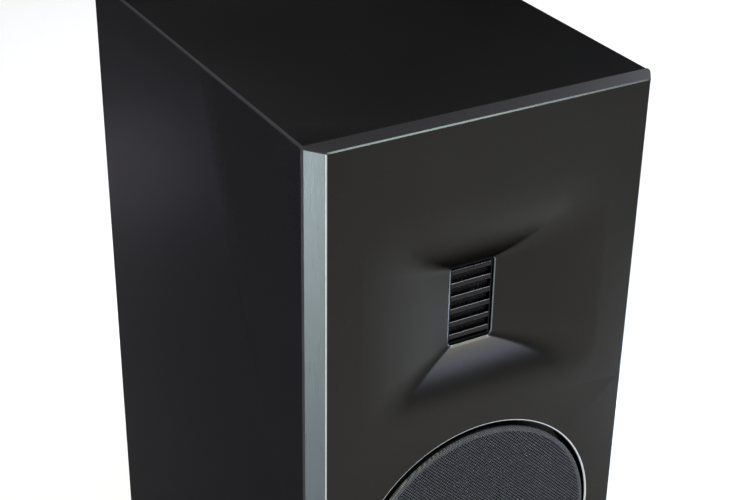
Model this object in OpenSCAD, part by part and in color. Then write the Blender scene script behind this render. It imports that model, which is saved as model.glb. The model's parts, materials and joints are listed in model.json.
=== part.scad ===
/* [Cabinet] */
// Overall width of the cabinet and the front baffle
cabinet_w = 215; // [205:1:240]
// Overall height, feet included
overall_h = 412; // [405:1:430]
// Depth from the front face to the back of the rear panel
cabinet_d = 291; // [270:1:330]
// Thickness of the side, top and bottom panels
panel_t = 15; // [12:1:18]
// Thickness of the rear panel
rear_t = 18; // [15:1:20]
// Thickness of the inner baffle board
inner_t = 18; // [18:1:22]
// Height of the rubber feet
foot_h = 4; // [3:0.5:8]

/* [Front baffle] */
// Thickness of the front baffle
baffle_t = 13; // [13:0.5:15]
// Width of the bevel down each side
side_bevel_w = 7.5; // [5:0.5:9]
// Depth of the bevel down each side
side_bevel_d = 10; // [8:0.5:12]
// Bevel along the top and bottom edges
edge_bevel = 0.7; // [0.5:0.1:1.5]

/* [Waveguide] */
// Height of the tweeter's centre below the top
tweeter_drop = 120.5; // [115:0.5:130]
// Width of the tweeter's aperture
aperture_w = 28.6; // [26:0.1:30]
// Height of the tweeter's aperture
aperture_h = 50.5; // [48:0.5:52]
// Depth of the aperture behind the face
horn_d = 15.2; // [13:0.1:15.5]
// Distance from the tweeter's centre to the horn's side edges
horn_side = 79.2; // [70:0.1:90]
// Distance from the tweeter's centre up to the horn's top edge
horn_top = 89.9; // [80:0.1:95]
// Distance from the tweeter's centre down to the horn's bottom edge
horn_bottom = 65.9; // [60:0.1:70]

/* [Woofer] */
// Height of the woofer's centre below the top
woofer_drop = 278; // [272:1:282]
// Radius of the hole in the front baffle
woofer_hole_r = 81.7; // [81.5:0.1:84]
// Bevel round that hole
hole_bevel = 0.8; // [0.5:0.1:1.2]
// Radius of the round grille
grille_r = 78.5; // [78:0.1:79]
// How far the grille's cloth stands in front of the face
grille_proud = 1.8; // [0.5:0.1:3]
// Travel of the cone each way
cone_travel = 5; // [3:0.5:6]

/* [Rear] */
// Height of the port's centre
port_z = 300; // [285:1:307]
// Inner radius of the port
port_r = 25; // [22:0.5:28]
// Length of the port tube
port_len = 130; // [110:1:140]
// Height of the terminal plate's centre
terminal_z = 92; // [80:1:110]
// Distance between the binding posts
post_pitch = 38; // [34:1:44]
// How far the posts stand behind the rear panel
post_reach = 25; // [22:0.5:28]
// Radius of the socket in each post
socket_r = 2.05; // [2.02:0.01:2.1]

/* [Hidden] */

$fn = 96;
tiny = 0.01;
air = 0.3;

half_w = cabinet_w / 2;
inside_w = cabinet_w - 2 * panel_t;
inside_half = inside_w / 2;
face_half = half_w - side_bevel_w;
body_h = overall_h - foot_h;
floor_z = foot_h + panel_t;
ceiling_z = overall_h - panel_t;
inside_h = ceiling_z - floor_z;
face_y = -(cabinet_d + post_reach - grille_proud) / 2;
inner_front = baffle_t;
inner_back = baffle_t + inner_t;
rear_front = cabinet_d - rear_t;
woofer_z = overall_h - woofer_drop;
tweeter_z = overall_h - tweeter_drop;

// Moves children to x, to a depth behind the front face and to height z.
module at(x, depth, z) {
  translate([x, face_y + depth, z]) children();
}

// A box given by its lowest and highest corners, the second number being a depth.
module block(low, high) {
  at(low[0], low[1], low[2]) cube([high[0] - low[0], high[1] - low[1], high[2] - low[2]]);
}

// A rod along the depth.
module rod(x, z, from, to, r, fn = 48) {
  at(x, from, z) rotate([-90, 0, 0]) cylinder(h = to - from, r = r, $fn = fn);
}

// A turned shape about an axis along the depth, from points of radius and depth.
module turned(points, x = 0, z = woofer_z) {
  at(x, 0, z) rotate([-90, 0, 0]) rotate_extrude() polygon(points);
}

// A turned ring of rectangular section.
module ring(r_in, r_out, from, to, x = 0, z = woofer_z) {
  turned([[r_in, from], [r_out, from], [r_out, to], [r_in, to]], x, z);
}

// Places children round an axis along the depth.
module around(count, radius, phase = 0, x = 0, z = woofer_z) {
  for (i = [0 : count - 1]) {
    angle = phase + i * 360 / count;
    translate([x + radius * cos(angle), 0, z + radius * sin(angle)]) children();
  }
}

// A cap screw along the depth: head at the front of its seat, shank behind it.
module screw(seat, head_r, head_t, shank_r, length) {
  rod(0, 0, seat - head_t, seat, head_r, 32);
  rod(0, 0, seat - tiny, seat + length, shank_r, 24);
}

// ---- Cabinet ----

panel_front = baffle_t;
panel_back = cabinet_d;

module swept_back(points) {
  at(0, panel_back, 0)
    rotate([90, 0, 0])
      linear_extrude(height = panel_back - panel_front) polygon(points);
}

module side_panel() {
  swept_back([
    [half_w, foot_h], [half_w, overall_h],
    [inside_half, ceiling_z], [inside_half, floor_z],
  ]);
}

module left_side_panel() {
  color([0.11, 0.11, 0.12]) mirror([1, 0, 0]) side_panel();
}

module right_side_panel() {
  color([0.11, 0.11, 0.12]) side_panel();
}

module top_panel() {
  color([0.08, 0.08, 0.08]) swept_back([
    [-half_w, overall_h], [half_w, overall_h],
    [inside_half, ceiling_z], [-inside_half, ceiling_z],
  ]);
}

module bottom_panel() {
  color([0.11, 0.11, 0.12]) swept_back([
    [-inside_half, floor_z], [inside_half, floor_z],
    [half_w, foot_h], [-half_w, foot_h],
  ]);
}

port_wall = 2.5;
port_flange_r = 44;
port_flange_t = 3;
port_screw_ring = 39.5;
port_screw_r = 1.6;
terminal_w = 96;
terminal_h = 70;
terminal_t = 4;
terminal_recess = 3;
terminal_corner = 6;
cutout_margin = 12;
terminal_screw_x = terminal_w / 2 - 7;
terminal_screw_z = terminal_h / 2 - 7;

// The terminal plate's outline, or its pocket's when grown by a gap.
module terminal_outline(gap) {
  w = terminal_w / 2 - air - terminal_corner;
  h = terminal_h / 2 - air - terminal_corner;
  r = terminal_corner + gap;
  square([2 * (w + r), 2 * h], center = true);
  square([2 * w, 2 * (h + r)], center = true);
  for (x = [-w, w], y = [-h, h])
    translate([x, y]) circle(r = r, $fn = 48);
}

module rear_panel() {
  color([0.11, 0.11, 0.12]) difference() {
    block([-inside_half, rear_front, floor_z], [inside_half, cabinet_d, ceiling_z]);
    rod(0, port_z, rear_front - 1, cabinet_d + 1, port_r + port_wall + 1, 96);
    rod(0, port_z, cabinet_d - port_flange_t, cabinet_d + 1, port_flange_r, 96);
    around(4, port_screw_ring, 45, 0, port_z)
      rod(0, 0, cabinet_d - 14, cabinet_d, port_screw_r, 24);
    block(
      [-terminal_w / 2 + cutout_margin, rear_front - 1, terminal_z - terminal_h / 2 + cutout_margin],
      [terminal_w / 2 - cutout_margin, cabinet_d + 1, terminal_z + terminal_h / 2 - cutout_margin]
    );
    at(0, cabinet_d - terminal_recess, terminal_z) rotate([-90, 0, 0])
      linear_extrude(height = terminal_recess + 1) terminal_outline(air);
    terminal_corners() rod(0, 0, cabinet_d - 14, cabinet_d, port_screw_r, 24);
  }
}

foot_r = 9;
foot_x = half_w - 17;
foot_front = 22;
foot_back = cabinet_d - 18;

module rubber_feet() {
  color([0.06, 0.06, 0.06])
    for (x = [-foot_x, foot_x], depth = [foot_front, foot_back])
      at(x, depth, 0) cylinder(h = foot_h, r1 = foot_r - 0.6, r2 = foot_r, $fn = 48);
}

flange_r = 80.8;
flange_t = 4;
flange_front = baffle_t + 3;
flange_back = flange_front + flange_t;
basket_hole_r = 71;
boss_half_w = 38;
boss_half_h = 37;
boss_back = 20;
tweeter_cut_w = boss_half_w + 1;
tweeter_cut_h = boss_half_h + 1;
baffle_screw_x = inside_half - 9;
baffle_screw_z = [floor_z + 14, woofer_z + 92, ceiling_z - 14];
baffle_screw_r = 2;
baffle_screw_bite = 8;

module baffle_screw_places() {
  for (x = [-baffle_screw_x, baffle_screw_x], z = baffle_screw_z)
    translate([x, 0, z]) children();
}

module inner_baffle() {
  color([0.45, 0.33, 0.2]) difference() {
    block([-inside_half, inner_front, floor_z], [inside_half, inner_back, ceiling_z]);
    rod(0, woofer_z, inner_front - 1, flange_back, flange_r + 0.4, 96);
    rod(0, woofer_z, flange_back - 1, inner_back + 1, basket_hole_r, 96);
    block(
      [-tweeter_cut_w, inner_front - 1, tweeter_z - tweeter_cut_h],
      [tweeter_cut_w, inner_back + 1, tweeter_z + tweeter_cut_h]
    );
    baffle_screw_places() rod(0, 0, inner_front - 1, inner_back + 1, baffle_screw_r, 24);
    around(6, flange_screw_ring) rod(0, 0, flange_back - 1, flange_back + 9, flange_screw_r, 24);
  }
}

module baffle_screws() {
  color([0.2, 0.2, 0.22]) baffle_screw_places() {
    rod(0, 0, inner_back, inner_back + 3, 4.2, 32);
    rod(0, 0, inner_front - baffle_screw_bite, inner_back + tiny, baffle_screw_r, 24);
  }
}

brace_front = 122;
brace_t = 15;
brace_border = 26;
brace_bar_z = 196;
brace_bar_h = 26;

module window_brace() {
  window_half = inside_half - brace_border;
  color([0.45, 0.33, 0.2]) difference() {
    block([-inside_half, brace_front, floor_z], [inside_half, brace_front + brace_t, ceiling_z]);
    block(
      [-window_half, brace_front - 1, floor_z + brace_border],
      [window_half, brace_front + brace_t + 1, brace_bar_z - brace_bar_h / 2]
    );
    block(
      [-window_half, brace_front - 1, brace_bar_z + brace_bar_h / 2],
      [window_half, brace_front + brace_t + 1, ceiling_z - brace_border]
    );
  }
}

lining_t = 18;
lining_low = floor_z + 40;
lining_high = ceiling_z - 20;

module damping_lining() {
  color([0.75, 0.74, 0.7])
    for (side = [-1, 1], span = [
      [inner_back + 4, brace_front - 1], [brace_front + brace_t + 1, rear_front - 1],
    ])
      scale([side, 1, 1])
        block(
          [inside_half - lining_t, span[0], lining_low],
          [inside_half - tiny, span[1], lining_high]
        );
}

// ---- Front baffle ----

horn_levels = 16;
side_power = 1.37;
top_power = 3.3;
bottom_power = 2.63;

// How far the horn's edge lies from the centre at a share of its full depth.
function horn_edge(throat, mouth, share, power) =
  mouth - (mouth - throat) * pow(share, 1 / power);

function horn_ring(share, depth) =
  let (
    x = horn_edge(aperture_w / 2, horn_side, share, side_power),
    top = horn_edge(aperture_h / 2, horn_top, share, top_power),
    bottom = horn_edge(aperture_h / 2, horn_bottom, share, bottom_power)
  )
  [[-x, depth, -bottom], [x, depth, -bottom], [x, depth, top], [-x, depth, top]];

// The space of the waveguide: nested rectangles, one for each depth.
module horn_space() {
  shares = [for (i = [0 : horn_levels]) pow(i / horn_levels, 1.9)];
  rings = concat(
    [horn_ring(0, -2)],
    [for (share = shares) horn_ring(share, share * horn_d)],
    [horn_ring(1, boss_back + 2)]
  );
  last = len(rings) - 1;
  points = [for (r = rings) for (p = r) p];
  walls = [
    for (i = [0 : last - 1], k = [0 : 3])
      let (a = 4 * i + k, b = 4 * i + (k + 1) % 4)
        [a, b, b + 4, a + 4]
  ];
  caps = [[3, 2, 1, 0], [for (k = [0 : 3]) 4 * last + k]];
  at(0, 0, tweeter_z) polyhedron(points = points, faces = concat(walls, caps));
}

module baffle_outline() {
  translate([0, 0, foot_h]) linear_extrude(height = body_h) translate([0, face_y])
    polygon([
      [-face_half, 0], [face_half, 0],
      [half_w, side_bevel_d], [half_w, baffle_t],
      [-half_w, baffle_t], [-half_w, side_bevel_d],
    ]);
}

module baffle_side_view() {
  translate([half_w, face_y, 0]) rotate([90, 0, -90]) linear_extrude(height = cabinet_w) polygon([
    [0, foot_h + edge_bevel], [-edge_bevel, foot_h], [-baffle_t, foot_h],
    [-baffle_t, overall_h], [-edge_bevel, overall_h], [0, overall_h - edge_bevel],
  ]);
}

module front_baffle() {
  color([0.2, 0.2, 0.21]) difference() {
    union() {
      intersection() {
        baffle_outline();
        baffle_side_view();
      }
      block(
        [-boss_half_w, baffle_t - 1, tweeter_z - boss_half_h],
        [boss_half_w, boss_back, tweeter_z + boss_half_h]
      );
    }
    horn_space();
    rod(0, woofer_z, -1, baffle_t + 1, woofer_hole_r, 96);
    turned([
      [0, -1], [woofer_hole_r + hole_bevel + 1, -1],
      [woofer_hole_r, hole_bevel], [0, hole_bevel],
    ]);
    baffle_screw_places()
      rod(0, 0, inner_front - baffle_screw_bite, baffle_t + 1, baffle_screw_r, 24);
    tweeter_screw_places() rod(0, 0, boss_back - 6, boss_back + 1, tweeter_screw_r, 24);
  }
}

// ---- Tweeter ----

insert_t = 2.6;
insert_half_w = boss_half_w;
insert_half_h = 35;
slat_count = 6;
slat_pitch = 8.3;
slat_h = 3.2;
slat_lift = 0.35;
slat_t = 1.4;
insert_front = horn_d + 1;
insert_gap = 0.4;
insert_wall = 0.9;
window_half_w = aperture_w / 2 - insert_gap - insert_wall;
window_half_h = aperture_h / 2 - insert_gap - insert_wall;
mesh_t = 0.5;
mesh_front = insert_front + 2.2;
pole_t = 3;
motor_half_w = 27;
motor_half_h = 31;
magnet_d = 11;
insert_back = boss_back + insert_t;
front_pole_back = insert_back + pole_t;
magnet_back = front_pole_back + magnet_d;
rear_pole_back = magnet_back + pole_t;
chamber_d = 26;
chamber_wall = 2;
tweeter_screw_x = 32.5;
tweeter_screw_z = 29;
tweeter_screw_r = 1.5;

module tweeter_screw_places() {
  for (x = [-tweeter_screw_x, tweeter_screw_x], z = [-tweeter_screw_z, tweeter_screw_z])
    translate([x, 0, tweeter_z + z]) children();
}

module tweeter_block(half_x, half_z, from, to) {
  block([-half_x, from, tweeter_z - half_z], [half_x, to, tweeter_z + half_z]);
}

module tweeter_insert() {
  outer_x = window_half_w + insert_wall;
  outer_z = window_half_h + insert_wall;
  color([0.17, 0.17, 0.18]) {
    difference() {
      union() {
        tweeter_block(insert_half_w, insert_half_h, boss_back, insert_back);
        tweeter_block(outer_x, outer_z, insert_front, boss_back + 1);
      }
      tweeter_block(window_half_w, window_half_h, insert_front - 1, insert_back + 1);
      tweeter_screw_places() rod(0, 0, boss_back - 1, insert_back + 1, tweeter_screw_r + 0.3, 24);
    }
    for (i = [0 : slat_count - 1]) {
      z = tweeter_z + slat_lift + (i - (slat_count - 1) / 2) * slat_pitch;
      block(
        [-window_half_w - tiny, insert_front, z - slat_h / 2],
        [window_half_w + tiny, insert_front + slat_t, z + slat_h / 2]
      );
    }
  }
}

module tweeter_mesh() {
  color([0.1, 0.1, 0.1])
    tweeter_block(window_half_w, window_half_h, mesh_front, mesh_front + mesh_t);
}

module pole_plate(from, to) {
  color([0.5, 0.5, 0.52]) difference() {
    tweeter_block(motor_half_w, motor_half_h, from, to);
    for (x = [-9, 0, 9])
      block([x - 3, from - 1, tweeter_z - 24], [x + 3, to + 1, tweeter_z + 24]);
  }
}

module tweeter_front_pole() {
  pole_plate(insert_back, front_pole_back);
}

module tweeter_rear_pole() {
  pole_plate(magnet_back, rear_pole_back);
}

magnet_inner_x = 14.5;

module tweeter_magnets() {
  color([0.35, 0.35, 0.36])
    for (side = [-1, 1])
      scale([side, 1, 1])
        block(
          [magnet_inner_x, front_pole_back, tweeter_z - motor_half_h],
          [motor_half_w, magnet_back, tweeter_z + motor_half_h]
        );
}

pleats = 8;
pleat_depth = 7;
foil_t = 0.5;
pleat_span = 26;

module tweeter_diaphragm() {
  step = pleat_span / (2 * pleats);
  middle = (front_pole_back + magnet_back) / 2;
  fold = [for (i = [0 : 2 * pleats])
    [-pleat_span / 2 + i * step, (i % 2 == 0 ? -1 : 1) * (pleat_depth - foil_t) / 2]];
  back = [for (i = [2 * pleats : -1 : 0]) [fold[i][0], fold[i][1] + foil_t * 2]];
  color([0.72, 0.6, 0.35])
    translate([0, face_y + middle - foil_t, tweeter_z - 24])
      linear_extrude(height = 48) polygon(concat(fold, back));
}

module tweeter_chamber() {
  back = rear_pole_back + chamber_d;
  color([0.08, 0.08, 0.08]) difference() {
    tweeter_block(motor_half_w, motor_half_h, rear_pole_back, back);
    tweeter_block(
      motor_half_w - chamber_wall, motor_half_h - chamber_wall, rear_pole_back - 1, back - chamber_wall
    );
  }
}

module tweeter_screws() {
  color([0.2, 0.2, 0.22]) tweeter_screw_places() {
    rod(0, 0, insert_back, insert_back + 2.4, 3, 32);
    rod(0, 0, boss_back - 6, insert_back + tiny, tweeter_screw_r, 24);
  }
}

// ---- Woofer ----

cone_r = 58;
coil_r = 18.2;
former_t = 0.4;
winding_t = 0.5;
surround_out = 69;
lip_out = 71.3;
surround_rise = 5;
skin_t = 0.8;
neck_depth = flange_front + 20;
cup_out = 47;
cup_in = 43;
shelf_depth = 45;
plate_front = 62;
plate_back = plate_front + 6;
magnet_end = plate_back + 18;
yoke_back = magnet_end + 6;
flange_screw_ring = 76.8;
flange_screw_r = 1.6;
peg_ring = 74.6;
peg_phase = 30;
disc_t = 1.5;
disc_r = 2.2;

module woofer_basket() {
  color([0.13, 0.13, 0.14]) difference() {
    union() {
      ring(surround_out - 0.5, flange_r, flange_front, flange_back);
      ring(cup_in, cup_out, shelf_depth, plate_front);
      ring(24, cup_in + 1, plate_front - 4, plate_front);
      for (i = [0 : 5])
        at(0, 0, woofer_z) rotate([0, i * 60 + 30, 0])
          translate([0, 0, -4]) linear_extrude(height = 8) polygon([
            [surround_out - 0.4, flange_back - 1.5], [70.4, flange_back - 1.5], [70.4, 26],
            [cup_out + 3, plate_front - 1], [cup_in + 1, plate_front - 1],
            [cup_in + 1, shelf_depth + 3], [65, 27],
          ]);
    }
    around(6, flange_screw_ring) rod(0, 0, flange_front - 1, flange_back + 1, flange_screw_r + 0.2, 24);
    around(6, peg_ring, peg_phase)
      rod(0, 0, flange_front - 1, flange_front + disc_t, disc_r, 24);
  }
}

strip_front = 50;
strip_back = 57;

// The strip on the side of the basket that the leads are soldered to.
module woofer_terminals() {
  color([0.6, 0.5, 0.3])
    block([cup_out + 0.1, strip_front, woofer_z - 6], [cup_out + 15, strip_back, woofer_z + 6]);
}

module woofer_screws() {
  color([0.2, 0.2, 0.22]) around(6, flange_screw_ring)
    screw(flange_front, 3, 2, flange_screw_r, flange_t + 8);
}

module flange_discs() {
  color([0.6, 0.6, 0.62]) around(6, peg_ring, peg_phase)
    rod(0, 0, flange_front, flange_front + disc_t, disc_r, 24);
}

module woofer_top_plate() {
  color([0.5, 0.5, 0.52]) ring(19.5, 45, plate_front, plate_back);
}

module woofer_magnet() {
  color([0.22, 0.22, 0.23]) ring(27, 50, plate_back, magnet_end);
}

module woofer_yoke() {
  color([0.5, 0.5, 0.52]) turned([
    [5, plate_front], [17.7, plate_front], [17.7, magnet_end],
    [46, magnet_end], [46, yoke_back], [5, yoke_back],
  ]);
}

// A sheet of constant thickness turned from a wavy line of radius and depth.
module turned_sheet(line, t) {
  back = [for (i = [len(line) - 1 : -1 : 0]) [line[i][0], line[i][1] + t]];
  turned(concat(line, back));
}

spider_in = coil_r + former_t + 0.1;
spider_out = cup_in - 0.5;
spider_waves = 5;

module woofer_spider() {
  wave = [for (i = [0 : 40])
    [spider_in + (spider_out - spider_in) * i / 40,
     shelf_depth - skin_t - 1.2 - 1.2 * sin(i * 9 * spider_waves)]];
  lip = [[cup_out - 0.5, shelf_depth - skin_t]];
  color([0.75, 0.6, 0.25])
    turned_sheet(concat(wave, [[cup_in, shelf_depth - skin_t]], lip), skin_t);
}

module woofer_surround() {
  mid = (cone_r + surround_out) / 2;
  half = (surround_out - cone_r) / 2;
  depth = flange_front - skin_t;
  roll = [for (i = [0 : 12])
    [mid - half * cos(i * 15), depth - surround_rise * sin(i * 15)]];
  color([0.05, 0.05, 0.05])
    turned_sheet(concat([[cone_r - 3, depth]], roll, [[lip_out, depth]]), skin_t);
}

cone_t = 1.2;

module woofer_cone() {
  depth = flange_front;
  out = cone_r - 0.2;
  neck = coil_r + former_t;
  steps = 10;
  line = [for (i = [0 : steps])
    let (s = i / steps)
      [out - (out - neck) * s, depth + (neck_depth - depth) * (1.25 * s - 0.25 * s * s)]];
  color([0.14, 0.14, 0.15]) turned_sheet(line, cone_t);
}

cap_r = 24;
cap_rise = 7;

module dust_cap() {
  seat = neck_depth - 3.1;
  sphere_r = (cap_r * cap_r + cap_rise * cap_rise) / (2 * cap_rise);
  angle = asin(cap_r / sphere_r);
  outer = [for (i = [8 : -1 : 0])
    [sphere_r * sin(angle * i / 8), seat + sphere_r * cos(angle) - sphere_r * cos(angle * i / 8)]];
  inner = [for (p = [for (i = [0 : 8]) outer[8 - i]]) [p[0], p[1] + 0.9]];
  color([0.1, 0.1, 0.1]) turned(concat(outer, inner));
}

module coil_former() {
  color([0.8, 0.7, 0.45]) ring(coil_r, coil_r + former_t, neck_depth + 0.1, plate_back + 6);
}

module coil_winding() {
  color([0.72, 0.38, 0.2])
    ring(coil_r + former_t, coil_r + former_t + winding_t, plate_front - 4, plate_back + 4);
}

// ---- Grille ----

frame_front = -grille_proud + 0.9;
frame_back = 2.6;
cloth_t = 0.7;
cloth_end = 0.4;
rim_round = 1.6;

module grille_frame() {
  edge = grille_r - cloth_t;
  color([0.1, 0.1, 0.1]) {
    turned([
      [edge - 8.5, frame_front], [edge - rim_round, frame_front],
      [edge, frame_front + rim_round], [edge, frame_back], [edge - 8.5, frame_back],
    ]);
    ring(17, 20, frame_front, frame_back);
    for (i = [0 : 5])
      at(0, 0, woofer_z) rotate([0, i * 60 + 30, 0])
        translate([19, frame_front, -1.5]) cube([edge - 27, frame_back - frame_front, 3]);
  }
}

peg_end = flange_front - air;
peg_r = 2.8;
peg_magnet_t = 2;
peg_magnet_r = 2;

module grille_pegs() {
  color([0.08, 0.08, 0.08]) around(6, peg_ring, peg_phase) difference() {
    rod(0, 0, frame_back, peg_end, peg_r, 32);
    rod(0, 0, peg_end - peg_magnet_t, peg_end + 1, peg_magnet_r, 24);
  }
}

module grille_magnets() {
  color([0.7, 0.7, 0.72]) around(6, peg_ring, peg_phase)
    rod(0, 0, peg_end - peg_magnet_t, peg_end, peg_magnet_r, 24);
}

// The cloth wraps the frame's rim and ends against its slope.
module grille_cloth() {
  edge = grille_r - cloth_t;
  front = -grille_proud;
  slope_r = edge - rim_round + cloth_end - frame_front;
  color([0.22, 0.24, 0.27]) turned([
    [0, front], [grille_r - rim_round - 0.4, front], [grille_r - 0.6, front + 0.6],
    [grille_r, front + rim_round], [grille_r, cloth_end - 0.2], [grille_r - 0.3, cloth_end],
    [slope_r + 0.02, cloth_end], [edge - rim_round + 0.02, frame_front - 0.02],
    [0, frame_front - 0.02],
  ]);
}

// ---- Port ----

port_flare = 11;

module port_tube() {
  tube_in = cabinet_d - port_len;
  flare = [for (i = [0 : 8])
    [port_r + port_flare * (1 - cos(i * 11.25)), cabinet_d - port_flare + port_flare * sin(i * 11.25)]];
  inner_flare = [for (i = [8 : -1 : 0])
    [port_r + 5 * (1 - cos(i * 11.25)), tube_in + 5 - 5 * sin(i * 11.25)]];
  color([0.07, 0.07, 0.07]) difference() {
    turned(concat(
      inner_flare, flare,
      [
        [port_flange_r - 0.3, cabinet_d], [port_flange_r - 0.3, cabinet_d - port_flange_t],
        [port_r + port_wall, cabinet_d - port_flange_t],
        [port_r + port_wall, tube_in + 6], [port_r + 7, tube_in + 1.5],
      ]
    ), 0, port_z);
    around(4, port_screw_ring, 45, 0, port_z)
      rod(0, 0, cabinet_d - port_flange_t - 1, cabinet_d + 1, port_screw_r, 24);
    around(4, port_screw_ring, 45, 0, port_z)
      rod(0, 0, cabinet_d - 1.6, cabinet_d + 1, 3, 24);
  }
}

module port_screws() {
  color([0.2, 0.2, 0.22]) around(4, port_screw_ring, 45, 0, port_z) {
    rod(0, 0, cabinet_d - 1.6, cabinet_d - 0.1, 2.9, 32);
    rod(0, 0, cabinet_d - 12, cabinet_d - 1.5, port_screw_r, 24);
  }
}

// ---- Terminals ----

terminal_front = cabinet_d - terminal_recess;
terminal_back = terminal_front + terminal_t;
post_r = 4;
collar_r = 7;
collar_t = 3;
washer_t = 1;
washer_r = 5.6;
nut_r = 7.5;
nut_flutes = 12;
thread_clearance = 0.05;
socket_depth = 16;
post_end = cabinet_d + post_reach;
collar_end = terminal_back + collar_t;
washer_end = collar_end + washer_t;
post_hex_r = 6.5;
post_inner = terminal_front - 12;

module terminal_corners() {
  for (x = [-terminal_screw_x, terminal_screw_x], z = [-terminal_screw_z, terminal_screw_z])
    translate([x, 0, terminal_z + z]) children();
}

module terminal_plate() {
  color([0.06, 0.06, 0.06]) difference() {
    at(0, terminal_front, terminal_z) rotate([-90, 0, 0])
      linear_extrude(height = terminal_t) terminal_outline(0);
    for (side = [-1, 1])
      rod(side * post_pitch / 2, terminal_z, terminal_front - 1, terminal_back + 1, post_r, 48);
    terminal_corners() rod(0, 0, terminal_front - 1, terminal_back + 1, port_screw_r, 24);
  }
}

module terminal_screws() {
  color([0.2, 0.2, 0.22]) terminal_corners() {
    rod(0, 0, terminal_back, terminal_back + 1.8, 3, 32);
    rod(0, 0, cabinet_d - 14, terminal_back + tiny, port_screw_r, 24);
  }
}

module post_shafts() {
  color([0.78, 0.6, 0.25])
    for (side = [-1, 1])
      translate([side * post_pitch / 2, 0, terminal_z]) difference() {
        union() {
          rod(0, 0, post_inner, post_end, post_r, 64);
          at(0, terminal_front - 4, 0) rotate([-90, 0, 0]) cylinder(h = 4, r = post_hex_r, $fn = 6);
        }
        rod(0, 0, post_end - socket_depth, post_end + 1, socket_r, 64);
      }
}

module post_collar(side) {
  color(side < 0 ? [0.6, 0.05, 0.05] : [0.05, 0.05, 0.05])
    ring(post_r, collar_r, terminal_back, collar_end, side * post_pitch / 2, terminal_z);
}

module post_collar_left() {
  post_collar(-1);
}

module post_collar_right() {
  post_collar(1);
}

module clamp_washer(side) {
  color([0.78, 0.6, 0.25])
    ring(post_r + thread_clearance, washer_r, collar_end, washer_end, side * post_pitch / 2, terminal_z);
}

module left_washer() {
  clamp_washer(-1);
}

module right_washer() {
  clamp_washer(1);
}

module thumb_nut(side) {
  color([0.75, 0.58, 0.24])
    translate([side * post_pitch / 2, 0, terminal_z]) difference() {
      rod(0, 0, washer_end, post_end, nut_r, 64);
      rod(0, 0, washer_end - 1, post_end + 1, post_r + thread_clearance, 64);
      for (i = [0 : nut_flutes - 1])
        rotate([0, i * 360 / nut_flutes, 0])
          rod(nut_r + 0.6, 0, washer_end + 3, post_end - 2, 1.3, 24);
    }
}

module left_thumb_nut() {
  thumb_nut(-1);
}

module right_thumb_nut() {
  thumb_nut(1);
}

// ---- Crossover ----

board_front = 165;
board_back = 262;
board_half_w = 66;
board_z = floor_z + 8;
board_t = 1.6;
board_top = board_z + board_t;
standoff_x = board_half_w - 6;
standoff_front = board_front + 7;
standoff_back = board_back - 7;

module board_corners() {
  for (x = [-standoff_x, standoff_x], depth = [standoff_front, standoff_back])
    at(x, depth, 0) children();
}

module crossover_board() {
  color([0.1, 0.3, 0.16]) difference() {
    block([-board_half_w, board_front, board_z], [board_half_w, board_back, board_top]);
    board_corners() translate([0, 0, board_z - 1]) cylinder(h = board_t + 2, r = 1.6, $fn = 24);
  }
}

module board_standoffs() {
  color([0.85, 0.85, 0.82]) board_corners() difference() {
    translate([0, 0, floor_z]) cylinder(h = board_z - floor_z, r = 3.5, $fn = 32);
    translate([0, 0, floor_z - 1]) cylinder(h = board_z - floor_z + 2, r = 1.6, $fn = 24);
  }
}

module board_screws() {
  color([0.6, 0.6, 0.62]) board_corners() {
    translate([0, 0, board_top]) cylinder(h = 2, r = 3, $fn = 32);
    translate([0, 0, floor_z]) cylinder(h = board_top - floor_z + tiny, r = 1.6, $fn = 24);
  }
}

module inductors() {
  color([0.72, 0.38, 0.2]) {
    at(-38, board_front + 32, board_top) difference() {
      cylinder(h = 18, r = 22);
      translate([0, 0, -1]) cylinder(h = 20, r = 9);
    }
    at(38, board_back - 30, board_top + 16) rotate([0, 90, 0]) difference() {
      translate([0, 0, -8]) cylinder(h = 16, r = 16);
      translate([0, 0, -9]) cylinder(h = 18, r = 7);
    }
  }
}

module capacitors() {
  color([0.1, 0.15, 0.4])
    for (can = [[-6, 26, 11, 44], [-12, 47, 8, 34], [-60, 75, 9, 40]])
      at(can[0], board_front + can[1], board_top + can[2])
        rotate([0, 90, 0]) cylinder(h = can[3], r = can[2], $fn = 64);
}

module resistors() {
  color([0.85, 0.85, 0.8])
    for (row = [0, 1])
      block(
        [-14, board_front + 59 + 13 * row, board_top],
        [24, board_front + 68 + 13 * row, board_top + 9]
      );
}

// ---- Leads ----

// Cross product frame of a swept tube: each ring lies across the local direction.
function unit(v) = v / norm(v);

function lead_direction(path, i) =
  unit(path[min(i + 1, len(path) - 1)] - path[max(i - 1, 0)]);

function lead_ring(path, i, r, sides) =
  let (
    forward = lead_direction(path, i),
    helper = [0.31, 0.17, 0.93],
    across = unit(cross(forward, helper)),
    over = cross(forward, across)
  )
  [for (k = [0 : sides - 1])
    path[i] + r * (across * cos(k * 360 / sides) + over * sin(k * 360 / sides))];

// A point on a smooth curve through p1 and p2.
function curve_point(p0, p1, p2, p3, t) =
  0.5 * (2 * p1 + (p2 - p0) * t + (2 * p0 - 5 * p1 + 4 * p2 - p3) * t * t
    + (3 * p1 - p0 - 3 * p2 + p3) * t * t * t);

function smooth_route(stops, steps) =
  let (n = len(stops))
  concat(
    [for (i = [0 : n - 2], s = [0 : steps - 1])
      curve_point(stops[max(i - 1, 0)], stops[i], stops[i + 1], stops[min(i + 2, n - 1)], s / steps)],
    [stops[n - 1]]
  );

lead_r = 1.3;
lead_sides = 8;
lead_steps = 4;

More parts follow.
